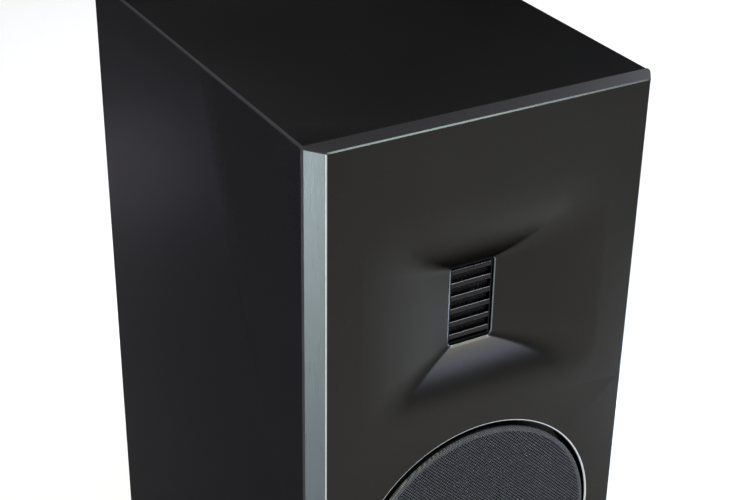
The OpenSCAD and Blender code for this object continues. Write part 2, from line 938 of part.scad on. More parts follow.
module lead(stops) {
  path = smooth_route(stops, lead_steps);
  n = len(path);
  points = [for (i = [0 : n - 1]) for (p = lead_ring(path, i, lead_r, lead_sides)) p];
  walls = [
    for (i = [0 : n - 2], k = [0 : lead_sides - 1])
      let (a = i * lead_sides + k, b = i * lead_sides + (k + 1) % lead_sides)
        [a, b, b + lead_sides, a + lead_sides]
  ];
  first = [for (k = [lead_sides - 1 : -1 : 0]) k];
  last = [for (k = [0 : lead_sides - 1]) (n - 1) * lead_sides + k];
  at(0, 0, 0) polyhedron(points = points, faces = concat([first], walls, [last]));
}

module woofer_leads() {
  color([0.6, 0.1, 0.1])
    for (dx = [0, 4])
      lead([
        [48 + dx, board_front + 14, board_top], [48 + dx, board_front + 14, board_top + 14],
        [52 + dx, 150, woofer_z - 56], [58 + dx, 115, woofer_z - 24], [58 + dx, 88, woofer_z - 10],
        [54 + dx, 68, woofer_z - 1],
        [53 + dx, strip_back, woofer_z],
      ]);
}

module tweeter_leads() {
  color([0.1, 0.1, 0.12])
    for (dx = [0, 4])
      lead([
        [-62 + dx, board_front + 60, board_top], [-62 + dx, board_front + 60, board_top + 20],
        [-62 + dx, 170, tweeter_z - 195], [-60 + dx, 130, tweeter_z - 134],
        [-50 + dx, 100, tweeter_z - 94], [-30 + dx, 86, tweeter_z - 44], [-14 + dx, 80, tweeter_z - 14],
        [-6 + dx, 74, tweeter_z], [-6 + dx, rear_pole_back + chamber_d, tweeter_z],
      ]);
}

module terminal_leads() {
  color([0.6, 0.1, 0.1])
    for (side = [-1, 1])
      lead([
        [side * 19, board_back - 4, board_top], [side * 19, board_back - 4, board_top + 12],
        [side * 19, board_back - 2, 62], [side * 19, board_back, 80],
        [side * 19, post_inner - 8, terminal_z - 1], [side * 19, post_inner, terminal_z],
      ]);
}

left_side_panel();
right_side_panel();
top_panel();
bottom_panel();
rear_panel();
inner_baffle();
window_brace();
front_baffle();
baffle_screws();
rubber_feet();
damping_lining();
port_tube();
port_screws();
terminal_plate();
terminal_screws();
post_shafts();
post_collar_left();
post_collar_right();
left_washer();
right_washer();
left_thumb_nut();
right_thumb_nut();
crossover_board();
board_standoffs();
board_screws();
inductors();
capacitors();
resistors();
woofer_leads();
tweeter_leads();
terminal_leads();
woofer_basket();
woofer_terminals();
woofer_screws();
flange_discs();
woofer_top_plate();
woofer_magnet();
woofer_yoke();
woofer_spider();
woofer_surround();
woofer_cone();
dust_cap();
coil_former();
coil_winding();
tweeter_insert();
tweeter_mesh();
tweeter_front_pole();
tweeter_magnets();
tweeter_diaphragm();
tweeter_rear_pole();
tweeter_chamber();
tweeter_screws();
grille_frame();
grille_pegs();
grille_magnets();
grille_cloth();
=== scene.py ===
"""Looks of the bookshelf speaker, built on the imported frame.

Shapes are worked out in millimetres, as (x, depth behind the face, height), and stored in metres.
"""

import json
from math import asin, copysign, cos, pi, radians, sin, sqrt, tan

import bmesh
import bpy
import numpy as np
from mathutils import Matrix, Vector, noise


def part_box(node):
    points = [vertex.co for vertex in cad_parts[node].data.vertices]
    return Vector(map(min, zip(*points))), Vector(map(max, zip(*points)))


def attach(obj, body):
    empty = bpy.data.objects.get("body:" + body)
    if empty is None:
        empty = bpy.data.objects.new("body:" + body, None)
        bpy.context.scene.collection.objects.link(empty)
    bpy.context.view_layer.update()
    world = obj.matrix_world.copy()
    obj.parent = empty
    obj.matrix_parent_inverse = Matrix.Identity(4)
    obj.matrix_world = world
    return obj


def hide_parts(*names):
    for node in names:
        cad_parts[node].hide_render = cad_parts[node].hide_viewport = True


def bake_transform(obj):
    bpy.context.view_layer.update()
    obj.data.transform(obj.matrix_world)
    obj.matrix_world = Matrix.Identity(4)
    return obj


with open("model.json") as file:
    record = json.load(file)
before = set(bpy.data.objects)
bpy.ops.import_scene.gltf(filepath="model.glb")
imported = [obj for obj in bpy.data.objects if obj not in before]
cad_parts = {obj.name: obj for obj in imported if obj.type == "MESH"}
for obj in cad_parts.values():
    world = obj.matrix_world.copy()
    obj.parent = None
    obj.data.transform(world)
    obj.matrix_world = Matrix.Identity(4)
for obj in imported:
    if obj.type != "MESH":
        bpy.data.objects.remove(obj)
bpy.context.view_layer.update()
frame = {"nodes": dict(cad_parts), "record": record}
MM = 0.001
# Turned profiles start this near to their axis, and the welding closes them.
AXIS = 0.001


def cad_box(node):
    """A node's lowest and highest corners in millimetres."""
    low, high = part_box(node)
    return low / MM, high / MM


BAFFLE_LOW, BAFFLE_HIGH = cad_box("front_baffle")
SIDE_LOW, SIDE_HIGH = cad_box("right_side_panel")
TOP_LOW, TOP_HIGH = cad_box("top_panel")
CLOTH_LOW, CLOTH_HIGH = cad_box("grille_cloth")
INSERT_LOW, INSERT_HIGH = cad_box("tweeter_insert")
PORT_LOW, PORT_HIGH = cad_box("port_tube")
PLATE_LOW, PLATE_HIGH = cad_box("terminal_plate")
NUT_LOW, NUT_HIGH = cad_box("right_thumb_nut")

FACE_Y = BAFFLE_LOW.y
HALF_W = BAFFLE_HIGH.x
BASE_Z, TOP_Z = BAFFLE_LOW.z, BAFFLE_HIGH.z
BAFFLE_T = SIDE_LOW.y - FACE_Y
BOSS_BACK = BAFFLE_HIGH.y - FACE_Y
FLANGE_D = BAFFLE_T + 3
BACK = SIDE_HIGH.y - FACE_Y
PANEL_T = SIDE_HIGH.x - SIDE_LOW.x
WOOFER_Z = (CLOTH_LOW.z + CLOTH_HIGH.z) / 2
TWEETER_Z = (INSERT_LOW.z + INSERT_HIGH.z) / 2
PORT_Z = (PORT_LOW.z + PORT_HIGH.z) / 2
POSTS_Z = (NUT_LOW.z + NUT_HIGH.z) / 2
POST_X = (NUT_LOW.x + NUT_HIGH.x) / 2


# ---- Mesh helpers ----


class Shell:
    """Collects grids of points into one mesh, welding where they meet."""

    def __init__(self):
        self.points, self.faces, self.finishes = [], [], []

    def grid(self, rows, finish=0, closed=False):
        """Quads between rows of points; closed joins each row's last point to its first.

        finish is one number, or a list with one for each column of quads.
        """
        start, width = len(self.points), len(rows[0])
        for row in rows:
            self.points.extend(tuple(p) for p in row)
        for i in range(len(rows) - 1):
            for j in range(width if closed else width - 1):
                a = start + i * width + j
                b = start + i * width + (j + 1) % width
                self.faces.append((a, b, b + width, a + width))
                self.finishes.append(finish[j] if isinstance(finish, list) else finish)

    def turn(self, profile, x=0.0, z=0.0, finish=0, segments=96, closed=True, shape=None):
        """Turns a profile of (radius, depth) round an axis along the depth.

        closed joins the profile's ends; shape gives another radius at each angle.
        """
        angles = np.linspace(0, 2 * pi, segments, endpoint=False)
        rows = []
        for radius, depth in profile:
            radii = [shape(a, radius, depth) if shape else radius for a in angles]
            rows.append([(x + r * cos(a), depth, z + r * sin(a)) for r, a in zip(radii, angles)])
        self.grid(rows + rows[:1] if closed else rows, finish, closed=True)

    def build(self, name, finishes, body, replaced=(), sharp=35, weld=0.005, stand=None):
        """Makes the piece; stand turns a point of the sketch into a place, both in millimetres."""
        mesh = bpy.data.meshes.new(name)
        spots = [stand(*p) if stand else (p[0], FACE_Y + p[1], p[2]) for p in self.points]
        mesh.from_pydata([tuple(c * MM for c in p) for p in spots], [], self.faces)
        mesh.polygons.foreach_set("material_index", self.finishes)
        for finish in finishes:
            mesh.materials.append(finish)
        weld_mesh(mesh, weld * MM)
        return keep(show(name, mesh, sharp), body, replaced)


def weld_mesh(mesh, distance):
    """Joins points closer than distance, in metres, and turns every face outwards."""
    work = bmesh.new()
    work.from_mesh(mesh)
    bmesh.ops.remove_doubles(work, verts=work.verts, dist=distance)
    bmesh.ops.dissolve_degenerate(work, edges=work.edges, dist=distance / 4)
    bmesh.ops.recalc_face_normals(work, faces=work.faces)
    work.to_mesh(mesh)
    work.free()


def show(name, mesh, sharp):
    """Puts a mesh in the scene, smooth apart from edges of more than sharp degrees."""
    mesh.shade_smooth()
    mesh.set_sharp_from_angle(angle=radians(sharp))
    piece = bpy.data.objects.new(name, mesh)
    bpy.context.scene.collection.objects.link(piece)
    return piece


def keep(piece, body, replaced=()):
    """Says which body a piece rides on and hides the CAD nodes it stands for."""
    if body:
        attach(piece, body)
    if replaced:
        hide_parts(*replaced)
    return piece


STRAIGHT = radians(178)
LONGEST_CUT = 0.49


def fillet(points, radius, steps=4, closed=True):
    """Rounds the corners of a flat outline; radius is one number or one for each point.

    A rounding takes at most LONGEST_CUT of the shorter edge beside it.
    """
    count = len(points)
    radii = list(radius) if hasattr(radius, "__len__") else [radius] * count
    out = []
    for i, r in enumerate(radii):
        here = Vector(points[i])
        before, after = Vector(points[i - 1]) - here, Vector(points[(i + 1) % count]) - here
        end = not closed and i in (0, count - 1)
        if end or r <= 0 or before.angle(after) > STRAIGHT:
            out.append(here)
            continue
        half = before.angle(after) / 2
        cut = min(r / tan(half), LONGEST_CUT * min(before.length, after.length))
        r = cut * tan(half)
        before.normalize()
        after.normalize()
        centre = here + (before + after).normalized() * (r / sin(half))
        first, last = here + before * cut - centre, here + after * cut - centre
        out.extend(centre + turn_between(first, last, k / steps) for k in range(steps + 1))
    return out


def turn_between(first, last, share):
    """Turns a flat vector part of the way towards another of the same length."""
    sweep = first.angle_signed(last)
    angle = -sweep * share
    c, s = cos(angle), sin(angle)
    return Vector((first.x * c - first.y * s, first.x * s + first.y * c))


def rounded_rect(x, low, high, radius, depth, side=40, arc=12, z=0.0):
    """Points round a rectangle from -x to x and from low to high; radius is (lower, upper).

    Every size has the same number of points, so that rings of them join up.
    """
    lower, upper = radius if hasattr(radius, "__len__") else (radius, radius)
    corners = [(x, low, lower, -90), (x, high, upper, 0), (-x, high, upper, 90), (-x, low, lower, 180)]
    out = []
    for i, (cx, cz, r, start) in enumerate(corners):
        mid_x, mid_z = cx - copysign(r, cx), cz + (r if i in (0, 3) else -r)
        for k in range(arc + 1):
            a = radians(start + 90 * k / arc)
            out.append(Vector((mid_x + r * cos(a), depth, z + mid_z + r * sin(a))))
        nx, nz, nr, _ = corners[(i + 1) % 4]
        end_x, end_z = nx - copysign(nr, nx), nz + (nr if (i + 1) % 4 in (0, 3) else -nr)
        angle = radians(start + 90)
        end = Vector((end_x + nr * cos(angle), depth, z + end_z + nr * sin(angle)))
        begin = out[-1]
        out.extend(begin.lerp(end, k / side) for k in range(1, side))
    return out


# ---- Material helpers ----


class Finish:
    """A material's node tree, with short ways to add what the finishes here share."""

    def __init__(self, name, **sockets):
        self.material = bpy.data.materials.new(name)
        self.material.use_nodes = True
        self.tree = self.material.node_tree
        self.shader = self.tree.nodes["Principled BSDF"]
        for socket, value in sockets.items():
            self.shader.inputs[socket.replace("_", " ")].default_value = value

    def set(self, socket, value):
        if isinstance(value, bpy.types.NodeSocket):
            self.tree.links.new(value, socket)
        else:
            socket.default_value = value

    def add(self, kind, **inputs):
        node = self.tree.nodes.new(kind)
        for name, value in inputs.items():
            self.set(node.inputs[name.replace("_", " ")], value)
        return node

    def places(self, stretch=(1, 1, 1)):
        spot = self.add("ShaderNodeTexCoord").outputs["Object"]
        return self.add("ShaderNodeMapping", Vector=spot, Scale=stretch).outputs["Vector"]

    def noise(self, size, stretch=(1, 1, 1), detail=3.0):
        """Noise from about 0.3 to 0.7 whose features are size millimetres across."""
        node = self.add(
            "ShaderNodeTexNoise", Vector=self.places(stretch), Scale=1 / (2 * size * MM), Detail=detail
        )
        return node.outputs["Fac"]

    def fit(self, value, low, high, start=0.3, end=0.7):
        node = self.add(
            "ShaderNodeMapRange", Value=value, From_Min=start, From_Max=end, To_Min=low, To_Max=high
        )
        return node.outputs["Result"]

    def calc(self, operation, *values):
        node = self.tree.nodes.new("ShaderNodeMath")
        node.operation = operation
        for socket, value in zip(node.inputs, values):
            self.set(socket, value)
        return node.outputs[0]

    def mix(self, share, low, high):
        node = self.tree.nodes.new("ShaderNodeMix")
        node.data_type = "RGBA"
        self.set(node.inputs["Factor"], share)
        for socket, value in ((node.inputs[6], low), (node.inputs[7], high)):
            self.set(socket, (*value, 1) if isinstance(value, tuple) else value)
        return node.outputs[2]

    def paint(self, colour=None, rough=None, height=None, relief=0.0):
        """Links the colour and roughness, and raises the surface by relief millimetres."""
        if colour is not None:
            self.set(self.shader.inputs["Base Color"], colour)
        if rough is not None:
            self.set(self.shader.inputs["Roughness"], rough)
        if height is not None:
            bump = self.add("ShaderNodeBump", Height=height, Distance=relief * MM)
            self.set(self.shader.inputs["Normal"], bump.outputs["Normal"])
        return self.material


def shade(colour, factor):
    """The colour made lighter or darker."""
    return tuple(min(1.0, c * factor) for c in colour)


def plain(name, colour, rough, grain=0.8, spread=0.12, relief=0.0, stretch=(1, 1, 1), patch=30, **sockets):
    """A finish with fine grain, larger uneven patches and a fine relief, all in millimetres.

    spread is the share by which the colour varies.
    """
    f = Finish(name, **sockets)
    fine = f.noise(grain, stretch, detail=4.0)
    broad = f.noise(patch, detail=2.0)
    both = f.calc("ADD", f.calc("MULTIPLY", fine, 0.6), f.calc("MULTIPLY", broad, 0.4))
    return f.paint(
        f.mix(f.fit(both, 0, 1), shade(colour, 1 - spread), shade(colour, 1 + spread)),
        f.fit(both, rough - 0.05, rough + 0.05),
        fine if relief else None,
        relief,
    )


def bare_metal(name, colour, rough, lines="z", relief=0.003, spread=0.08, **sockets):
    """Metal with fine tool lines along one axis."""
    stretch = tuple(0.02 if lines == axis else 1 for axis in "xyz")
    return plain(
        name, colour, rough, grain=0.25, spread=spread, relief=relief, stretch=stretch, Metallic=1.0,
        **sockets
    )


def satin_paint(name, colour, rough, flake=0.14, peel=0.004, **sockets):
    """Satin paint with fine metal flake and a faint orange peel."""
    f = Finish(name, **sockets)
    cells = f.add("ShaderNodeTexVoronoi", Vector=f.places(), Scale=1 / (0.25 * MM))
    glint = f.add("ShaderNodeSeparateColor", Color=cells.outputs["Color"]).outputs["Red"]
    broad = f.fit(f.noise(60, detail=2.0), 0, 1)
    both = f.calc("ADD", f.calc("MULTIPLY", glint, 0.6), f.calc("MULTIPLY", broad, 0.4))
    return f.paint(
        f.mix(both, shade(colour, 1 - flake), shade(colour, 1 + flake)),
        f.fit(both, rough - 0.03, rough + 0.03, 0, 1),
        f.noise(1.2, detail=2.0),
        peel,
    )


# ---- Finishes ----

# Dark lacquer over metal flake: it mirrors like a dim metal, without bright grazing angles.
DEEP = {"Metallic": 1.0, "Specular_Tint": (0.35, 0.35, 0.35, 1)}
SIDE = {"Metallic": 0.4, "Specular_Tint": (0.42, 0.42, 0.42, 1), "Specular_IOR_Level": 0.0}

body_paint = satin_paint("body_paint", (0.0095, 0.0093, 0.0118), 0.42, flake=0.10, peel=0.008, **SIDE)
lid_paint = satin_paint("lid_paint", (0.019, 0.0191, 0.0195), 0.45, flake=0.12, peel=0.006, **DEEP)
face_paint = satin_paint("face_paint", (0.0303, 0.0287, 0.0265), 0.33, flake=0.2, **DEEP)
# The thin top and bottom chamfers: a bluish copy of the face paint, its tint a painted highlight.
brow_highlight_paint = satin_paint("brow_highlight_paint", (0.024, 0.028, 0.029), 0.3, flake=0.1, **DEEP)
# The throat's lip: a bright copy of the face paint, a painted highlight.
lip_highlight_paint = satin_paint("lip_highlight_paint", (0.16, 0.185, 0.2), 0.3, flake=0.1, **DEEP)
# A lighter copy of the sides' paint for the rounded panel edges and the baffle's side edge: a painted
# highlight along them.
border_highlight_paint = satin_paint("border_highlight_paint", (0.036, 0.0335, 0.0395), 0.4, flake=0.1, **SIDE)
# The flat strips at the top and bottom of the baffle: a lighter copy of the face paint, painted light as
# on the up-facing top strip.
land_lit_paint = satin_paint("land_lit_paint", (0.057, 0.057, 0.0593), 0.4, flake=0.1, **DEEP)
cut_metal = bare_metal("cut_metal", (0.0915, 0.109, 0.131), 0.3, lines="z", spread=0.04)
ring_metal = bare_metal("ring_metal", (0.5, 0.53, 0.55), 0.2, lines="y")
# The rounded edge between face and bevel: metal far lighter than the cut, a painted highlight line.
edge_highlight_metal = bare_metal("edge_highlight_metal", (0.42, 0.46, 0.48), 0.3, lines="z", spread=0.04)


# ---- Front baffle ----

BAFFLE_FINISHES = [
    face_paint, cut_metal, ring_metal, land_lit_paint, lip_highlight_paint, brow_highlight_paint, border_highlight_paint, edge_highlight_metal,
]
FACE, CUT, RING, LAND, LIP, BROW, BORDER, EDGE = range(len(BAFFLE_FINISHES))

BEVEL_W, BEVEL_D = 7.5, 10.0
EDGE_BEVEL = 0.7
EDGE_ROUND = [0, 0.9, 0.45, 0]
EDGE_STEPS = 4
FACE_HALF = HALF_W - BEVEL_W
HORN_D, HORN_DEEPEST, HORN_RINGS = 15.2, 0.985, 48
THROAT_X, THROAT_Z, THROAT_ROUND = 14.3, 25.25, (3.0, 2.2)
CREASE_ROUND, CREASE_SPREAD = (3.1, 2.3), 0.55
LIP_STEPS = ((0.14, 0.0), (0.05, 0.12), (0.0, 0.35))
HORN_SIDE, HORN_TOP, HORN_BOTTOM = 79.2, 89.9, 65.9
SIDE_POWER, TOP_POWER, BOTTOM_POWER = 1.37, 3.3, 2.63
HOLE_R, HOLE_BEVEL, HOLE_TILT = 81.7, 1.15, 55
BOSS_HALF_H = 37.0
SPLIT_Z = (WOOFER_Z + HOLE_R + TWEETER_Z - HORN_BOTTOM) / 2
FACE_SIDE, FACE_ARC = 64, 10


def plan_outline(inset=0.0):
    """The baffle's plan from its face round the right bevel to its back, as (x, depth).

    Its points are the face edge's rounding, the side edge's rounding and the back corner.
    """
    along = Vector((BEVEL_W, BEVEL_D)).normalized()
    start = Vector((FACE_HALF, 0)) - inset * Vector((along.y, -along.x))
    near = start + along * (inset - start.y) / along.y
    far = start + along * (HALF_W - start.x) / along.x
    corners = [(near.x - 3, inset), near, far, (HALF_W, BAFFLE_T)]
    return fillet(corners, EDGE_ROUND, EDGE_STEPS, closed=False)[1:]


FACE_EDGE = plan_outline()[0].x


def horn_reach(throat, mouth, share, power):
    """How far from the tweeter's centre a flank is at a share of the horn's depth."""
    return mouth - (mouth - throat) * share ** (1 / power)


def face_ring(x, low, high, radius, depth):
    """One ring of the upper face, with heights from the tweeter's centre."""
    return rounded_rect(x, low, high, radius, depth, FACE_SIDE, FACE_ARC, TWEETER_Z)


def horn_ring(share):
    """The horn's outline at a share of its depth: its creases soften away from the throat."""
    x = horn_reach(THROAT_X, HORN_SIDE, share, SIDE_POWER)
    top = horn_reach(THROAT_Z, HORN_TOP, share, TOP_POWER)
    bottom = horn_reach(THROAT_Z, HORN_BOTTOM, share, BOTTOM_POWER)
    rounds = [
        r + CREASE_SPREAD * min(x - THROAT_X, z - THROAT_Z) for z, r in zip((bottom, top), CREASE_ROUND)
    ]
    return face_ring(x, -bottom, top, rounds, HORN_D * share)


def add_horn(shell):
    """The upper face: the horn, the lip of its throat, painted bright as a painted highlight, and the boss
    behind it.
    """
    shares = [((HORN_RINGS - j) / HORN_RINGS) ** 3 for j in range(HORN_RINGS + 1)]
    rings = [horn_ring(HORN_DEEPEST * share) for share in shares]
    low, high = SPLIT_Z - TWEETER_Z, TOP_Z - EDGE_BEVEL - TWEETER_Z
    shell.grid(rings + [face_ring(FACE_EDGE, low, high, 0, 0)], FACE, closed=True)
    lip = [
        face_ring(THROAT_X + out, -THROAT_Z - out, THROAT_Z + out, THROAT_ROUND, HORN_D + deep)
        for out, deep in LIP_STEPS
    ]
    shell.grid([rings[0], *lip], LIP, closed=True)
    behind = face_ring(THROAT_X, -THROAT_Z, THROAT_Z, THROAT_ROUND, BOSS_BACK)
    boss_x, boss_z = INSERT_HIGH.x, BOSS_HALF_H
    boss = [face_ring(boss_x, -boss_z, boss_z, 0, d) for d in (BOSS_BACK, BAFFLE_T)]
    edge = face_ring(HALF_W, low, TOP_Z - TWEETER_Z, 0, BAFFLE_T)
    shell.grid([lip[-1], behind, *boss, edge], FACE, closed=True)


def hole_loop(rect, radius, depth):
    """A circle round the woofer whose points lie on the way to a rectangle's points."""
    out = []
    for p in rect:
        arm = Vector((p.x, 0, p.z - WOOFER_Z)).normalized() * radius
        out.append(Vector((arm.x, depth, WOOFER_Z + arm.z)))
    return out


def add_hole(shell):
    """The lower face with the woofer's hole, whose edge is a curved bright band."""
    foot = BASE_Z + EDGE_BEVEL
    rect = rounded_rect(FACE_EDGE, foot, SPLIT_Z, 0, 0, FACE_SIDE, FACE_ARC)
    tilts = [radians(a) for a in range(5, HOLE_TILT + 1, 5)]
    band = [(HOLE_BEVEL * (1 - sin(a) / sin(tilts[-1])), a) for a in tilts]
    band_r = HOLE_BEVEL / sin(tilts[-1])
    rim = [hole_loop(rect, HOLE_R + HOLE_BEVEL + out, 0) for out in (1, 0)]
    rim += [hole_loop(rect, HOLE_R + out, band_r * (1 - cos(a))) for out, a in band]
    shell.grid([rect, *rim[:2]], FACE, closed=True)
    shell.grid(rim[1:], RING, closed=True)
    wall = [hole_loop(rect, HOLE_R, d) for d in (HOLE_BEVEL + 0.1, BAFFLE_T)]
    back = rounded_rect(HALF_W, BASE_Z, SPLIT_Z, 0, BAFFLE_T, FACE_SIDE, FACE_ARC)
    shell.grid([rim[-1], *wall, back], FACE, closed=True)


def add_side_bevels(shell):
    """Each side's bevel: a bright edge beside the face, a painted highlight line, the cut itself and an
    edge at the side in the border paint, lighter than the sides' paint as a painted highlight.
    """
    low = np.linspace(BASE_Z + EDGE_BEVEL, SPLIT_Z, FACE_SIDE + 1)
    high = np.linspace(SPLIT_Z, TOP_Z - EDGE_BEVEL, FACE_SIDE + 1)
    columns = [EDGE] * EDGE_STEPS + [CUT] * EDGE_STEPS + [BORDER] * 2
    for side in (-1, 1):
        rows = [[(side * p.x, p.y, z) for p in plan_outline()] for z in (*low, *high[1:])]
        shell.grid(rows, columns)


def edge_row(inset, z):
    """One line of points along the top or bottom edge, from the left side to the right."""
    outline = plan_outline(inset)
    width = outline[0].x
    middle = [(x, inset, z) for x in np.linspace(-width, width, FACE_SIDE + 1)]
    left = [(-p.x, p.y, z) for p in reversed(outline[1:])]
    return left + middle + [(p.x, p.y, z) for p in outline[1:]]


def add_end_bevels(shell):
    """The thin bevels along the top and the bottom, and the flat lands behind them."""
    corner = [LAND] * 2 + [CUT] * (2 * EDGE_STEPS - 1)
    for outer, inner in ((TOP_Z, TOP_Z - EDGE_BEVEL), (BASE_Z, BASE_Z + EDGE_BEVEL)):
        near, far = edge_row(0, inner), edge_row(EDGE_BEVEL, outer)
        # Their middle takes the bluish copy of the face paint: a painted highlight.
        middle = [BROW] * (len(near) - 1 - 2 * len(corner))
        shell.grid([near, far], corner + middle + corner[::-1])
        shell.grid([far, [(x, BAFFLE_T, z) for x, _, z in far]], LAND)


def make_baffle():
    """The whole front plate as one closed mesh."""
    shell = Shell()
    add_horn(shell)
    add_hole(shell)
    add_side_bevels(shell)
    add_end_bevels(shell)
    shell.build(
        "baffle_plate", BAFFLE_FINISHES, "cabinet", ["front_baffle"], sharp=30
    )


make_baffle()


# ---- Cabinet panels ----

MITRE_ROUND, BACK_ROUND = 1.2, 0.8
MITRE_TURNS = [radians(a) for a in (45, 60, 75, 90)]
PANEL_FACE, PANEL_BACK, PANEL_EDGE = range(3)


def panel_section(inset, half, thick):
    """A mitred panel's section with its long side outwards, as (along, inwards)."""
    r = MITRE_ROUND
    corner = [(half - r + r * cos(a), r - r * sin(a)) for a in MITRE_TURNS]
    outer = [(u - inset if u > 0 else u, v + inset) for u, v in corner]
    outer += [(-u, v) for u, v in reversed(outer)]
    return outer + [(-(half - thick), thick), (half - thick, thick)]


def make_panel(name, place, half, finish, slot):
    """One mitred panel, rounded at the back; place turns (along, inwards) into (x, z)."""
    r = BACK_ROUND
    ends = [(BAFFLE_T, 0), (BAFFLE_T + 0.02, 0), (BACK - r, 0)]
    ends += [(BACK - r + r * sin(a), r - r * cos(a)) for a in (0.5, 1.0, 1.5)]
    rows = []
    for depth, inset in ends:
        row = []
        for u, v in panel_section(inset, half, PANEL_T):
            x, z = place(u, v)
            row.append((x, depth, z))
        rows.append(row)
    middle = np.mean(rows[-1], axis=0)
    rounding = [PANEL_EDGE] * (len(MITRE_TURNS) - 1)
    inside = [PANEL_FACE] * 3
    shell = Shell()
    shell.grid(rows, [*rounding, PANEL_FACE, *rounding, *inside], closed=True)
    shell.grid([rows[-1], [tuple(middle)] * len(rows[0])], PANEL_BACK, closed=True)
    # The rounded mitre edges take the lighter border paint: a painted highlight.
    finishes = [finish, body_paint, border_highlight_paint]
    shell.build(name, finishes, "cabinet", [name.replace("_shell", "")], sharp=30)


MID_Z = (BASE_Z + TOP_Z) / 2
HALF_H = (TOP_Z - BASE_Z) / 2

PANELS = [
    ("left_side_panel_shell", lambda u, v: (v - HALF_W, MID_Z + u), HALF_H, body_paint, "cabinet_paint"),
    ("right_side_panel_shell", lambda u, v: (HALF_W - v, MID_Z + u), HALF_H, body_paint, "cabinet_paint"),
    ("top_panel_shell", lambda u, v: (u, TOP_Z - v), HALF_W, lid_paint, "top_paint"),
    ("bottom_panel_shell", lambda u, v: (u, BASE_Z + v), HALF_W, body_paint, "cabinet_paint"),
]
for panel in PANELS:
    make_panel(*panel)


# ---- Tweeter ----

slat_plastic = plain("slat_plastic", (0.0287, 0.0262, 0.0243), 0.3, grain=0.5, relief=0.004, **DEEP)
# The slats' rounded top-front edges: a lighter copy of the slat plastic, a painted highlight.
slat_crown_highlight = plain("slat_crown_highlight", (0.037, 0.039, 0.043), 0.3, grain=0.5, relief=0.004, **DEEP)
frame_plastic = plain("frame_plastic", (0.02, 0.02, 0.021), 0.35, grain=0.5, relief=0.004, **DEEP)
mesh_wire = bare_metal("mesh_wire", (0.018, 0.018, 0.019), 0.4, lines="x")

SLATS, SLAT_PITCH, SLAT_H, SLAT_T, SLAT_LIFT = 6, 8.3, 3.2, 1.4, 0.35
SLAT_ROUND, SLAT_STEPS = [0.35, 0.2, 0.2, 0.75], 5
SLAT, RIM, CROWN = range(3)
MESH_PITCH, WIRE_R, WIRE_LIFT = 1.2, 0.28, 0.1
WIRE_TURNS = (0.8, 2.4, 3.9, 5.5)
INSERT_FRONT = HORN_D + 1
INSERT_BACK = INSERT_HIGH.y - FACE_Y
WINDOW_X, WINDOW_Z = THROAT_X - 1.3, THROAT_Z - 1.3


def add_bar(shell, section, start, end, place, finish=0):
    """A bar with closed ends; place turns (u, v, along) into a point of the sketch."""
    middle = sum((Vector(p) for p in section), Vector((0, 0))) / len(section)
    rows = [[place(*p, along) for p in section] for along in (start, end)]
    caps = [[place(*middle, along)] * len(section) for along in (start, end)]
    shell.grid([caps[0], *rows, caps[1]], finish, closed=True)


def tweeter_rect(x, z, radius, depth):
    return rounded_rect(x, -z, z, radius, depth, 20, 8, TWEETER_Z)


def make_insert():
    """The tweeter's frame with its slats; each ring of the frame's wall is (out, depth, radius)."""
    shell = Shell()
    wall = [
        (0, INSERT_BACK, 0.9), (0, INSERT_FRONT + 0.35, 0.9), (0.12, INSERT_FRONT + 0.1, 1.0),
        (0.35, INSERT_FRONT, 1.2), (0.6, INSERT_FRONT, 1.4), (0.82, INSERT_FRONT + 0.12, 2.0),
        (0.9, INSERT_FRONT + 0.35, 2.1), (0.9, BOSS_BACK, 2.1),
    ]
    rows = [tweeter_rect(WINDOW_X + out, WINDOW_Z + out, r, d) for out, d, r in wall]
    half_h = (INSERT_HIGH.z - INSERT_LOW.z) / 2
    flange = [tweeter_rect(INSERT_HIGH.x, half_h, 2, d) for d in (BOSS_BACK, INSERT_BACK)]
    shell.grid([*rows, *flange, rows[0]], RIM, closed=True)
    corner = SLAT_STEPS + 1
    # The rounded top-front edge of each slat takes the lighter finish: a painted highlight.
    columns = [SLAT] * (3 * corner - 1) + [CROWN] * corner + [SLAT]
    near, far = INSERT_FRONT, INSERT_FRONT + SLAT_T
    for i in range(SLATS):
        z = TWEETER_Z + SLAT_LIFT + (i - (SLATS - 1) / 2) * SLAT_PITCH
        low, high = z - SLAT_H / 2, z + SLAT_H / 2
        corners = [(near, low), (far, low), (far, high), (near, high)]
        section = fillet(corners, SLAT_ROUND, SLAT_STEPS)
        add_bar(shell, section, -WINDOW_X, WINDOW_X, lambda d, h, x: (x, d, h), columns)
    finishes = [slat_plastic, frame_plastic, slat_crown_highlight]
    shell.build("tweeter_grid", finishes, "cabinet", ["tweeter_insert"])


def add_wire(shell, fixed, start, end, depth, phase, place):
    """One wire of a woven mesh, passing over and under the wires that cross it."""
    steps = int((end - start) / MESH_PITCH * 4)
    rows = []
    for i in range(steps + 1):
        along = start + (end - start) * i / steps
        d = depth + WIRE_LIFT * sin(pi * along / MESH_PITCH + phase)
        ring = [(WIRE_R * cos(a), WIRE_R * sin(a)) for a in WIRE_TURNS]
        rows.append([place(fixed + u, d + v, along) for u, v in ring])
    shell.grid(rows, closed=True)


def make_wire_mesh():
    low, high = cad_box("tweeter_mesh")
    depth = (low.y + high.y) / 2 - FACE_Y
    shell = Shell()
    half_count = int(high.x / MESH_PITCH)
    for i in range(-half_count, half_count + 1):
        x = i * MESH_PITCH
        add_wire(shell, x, low.z, high.z, depth, i * pi, lambda x, d, z: (x, d, z))
    for i in range(int((high.z - low.z) / MESH_PITCH) + 1):
        z = low.z + (i + 0.25) * MESH_PITCH
        add_wire(shell, z, low.x, high.x, depth, i * pi, lambda h, d, x: (x, d, h))
    shell.build(
        "tweeter_wire_mesh", [mesh_wire], "cabinet", ["tweeter_mesh"], weld=0.0005
    )


make_insert()
make_wire_mesh()


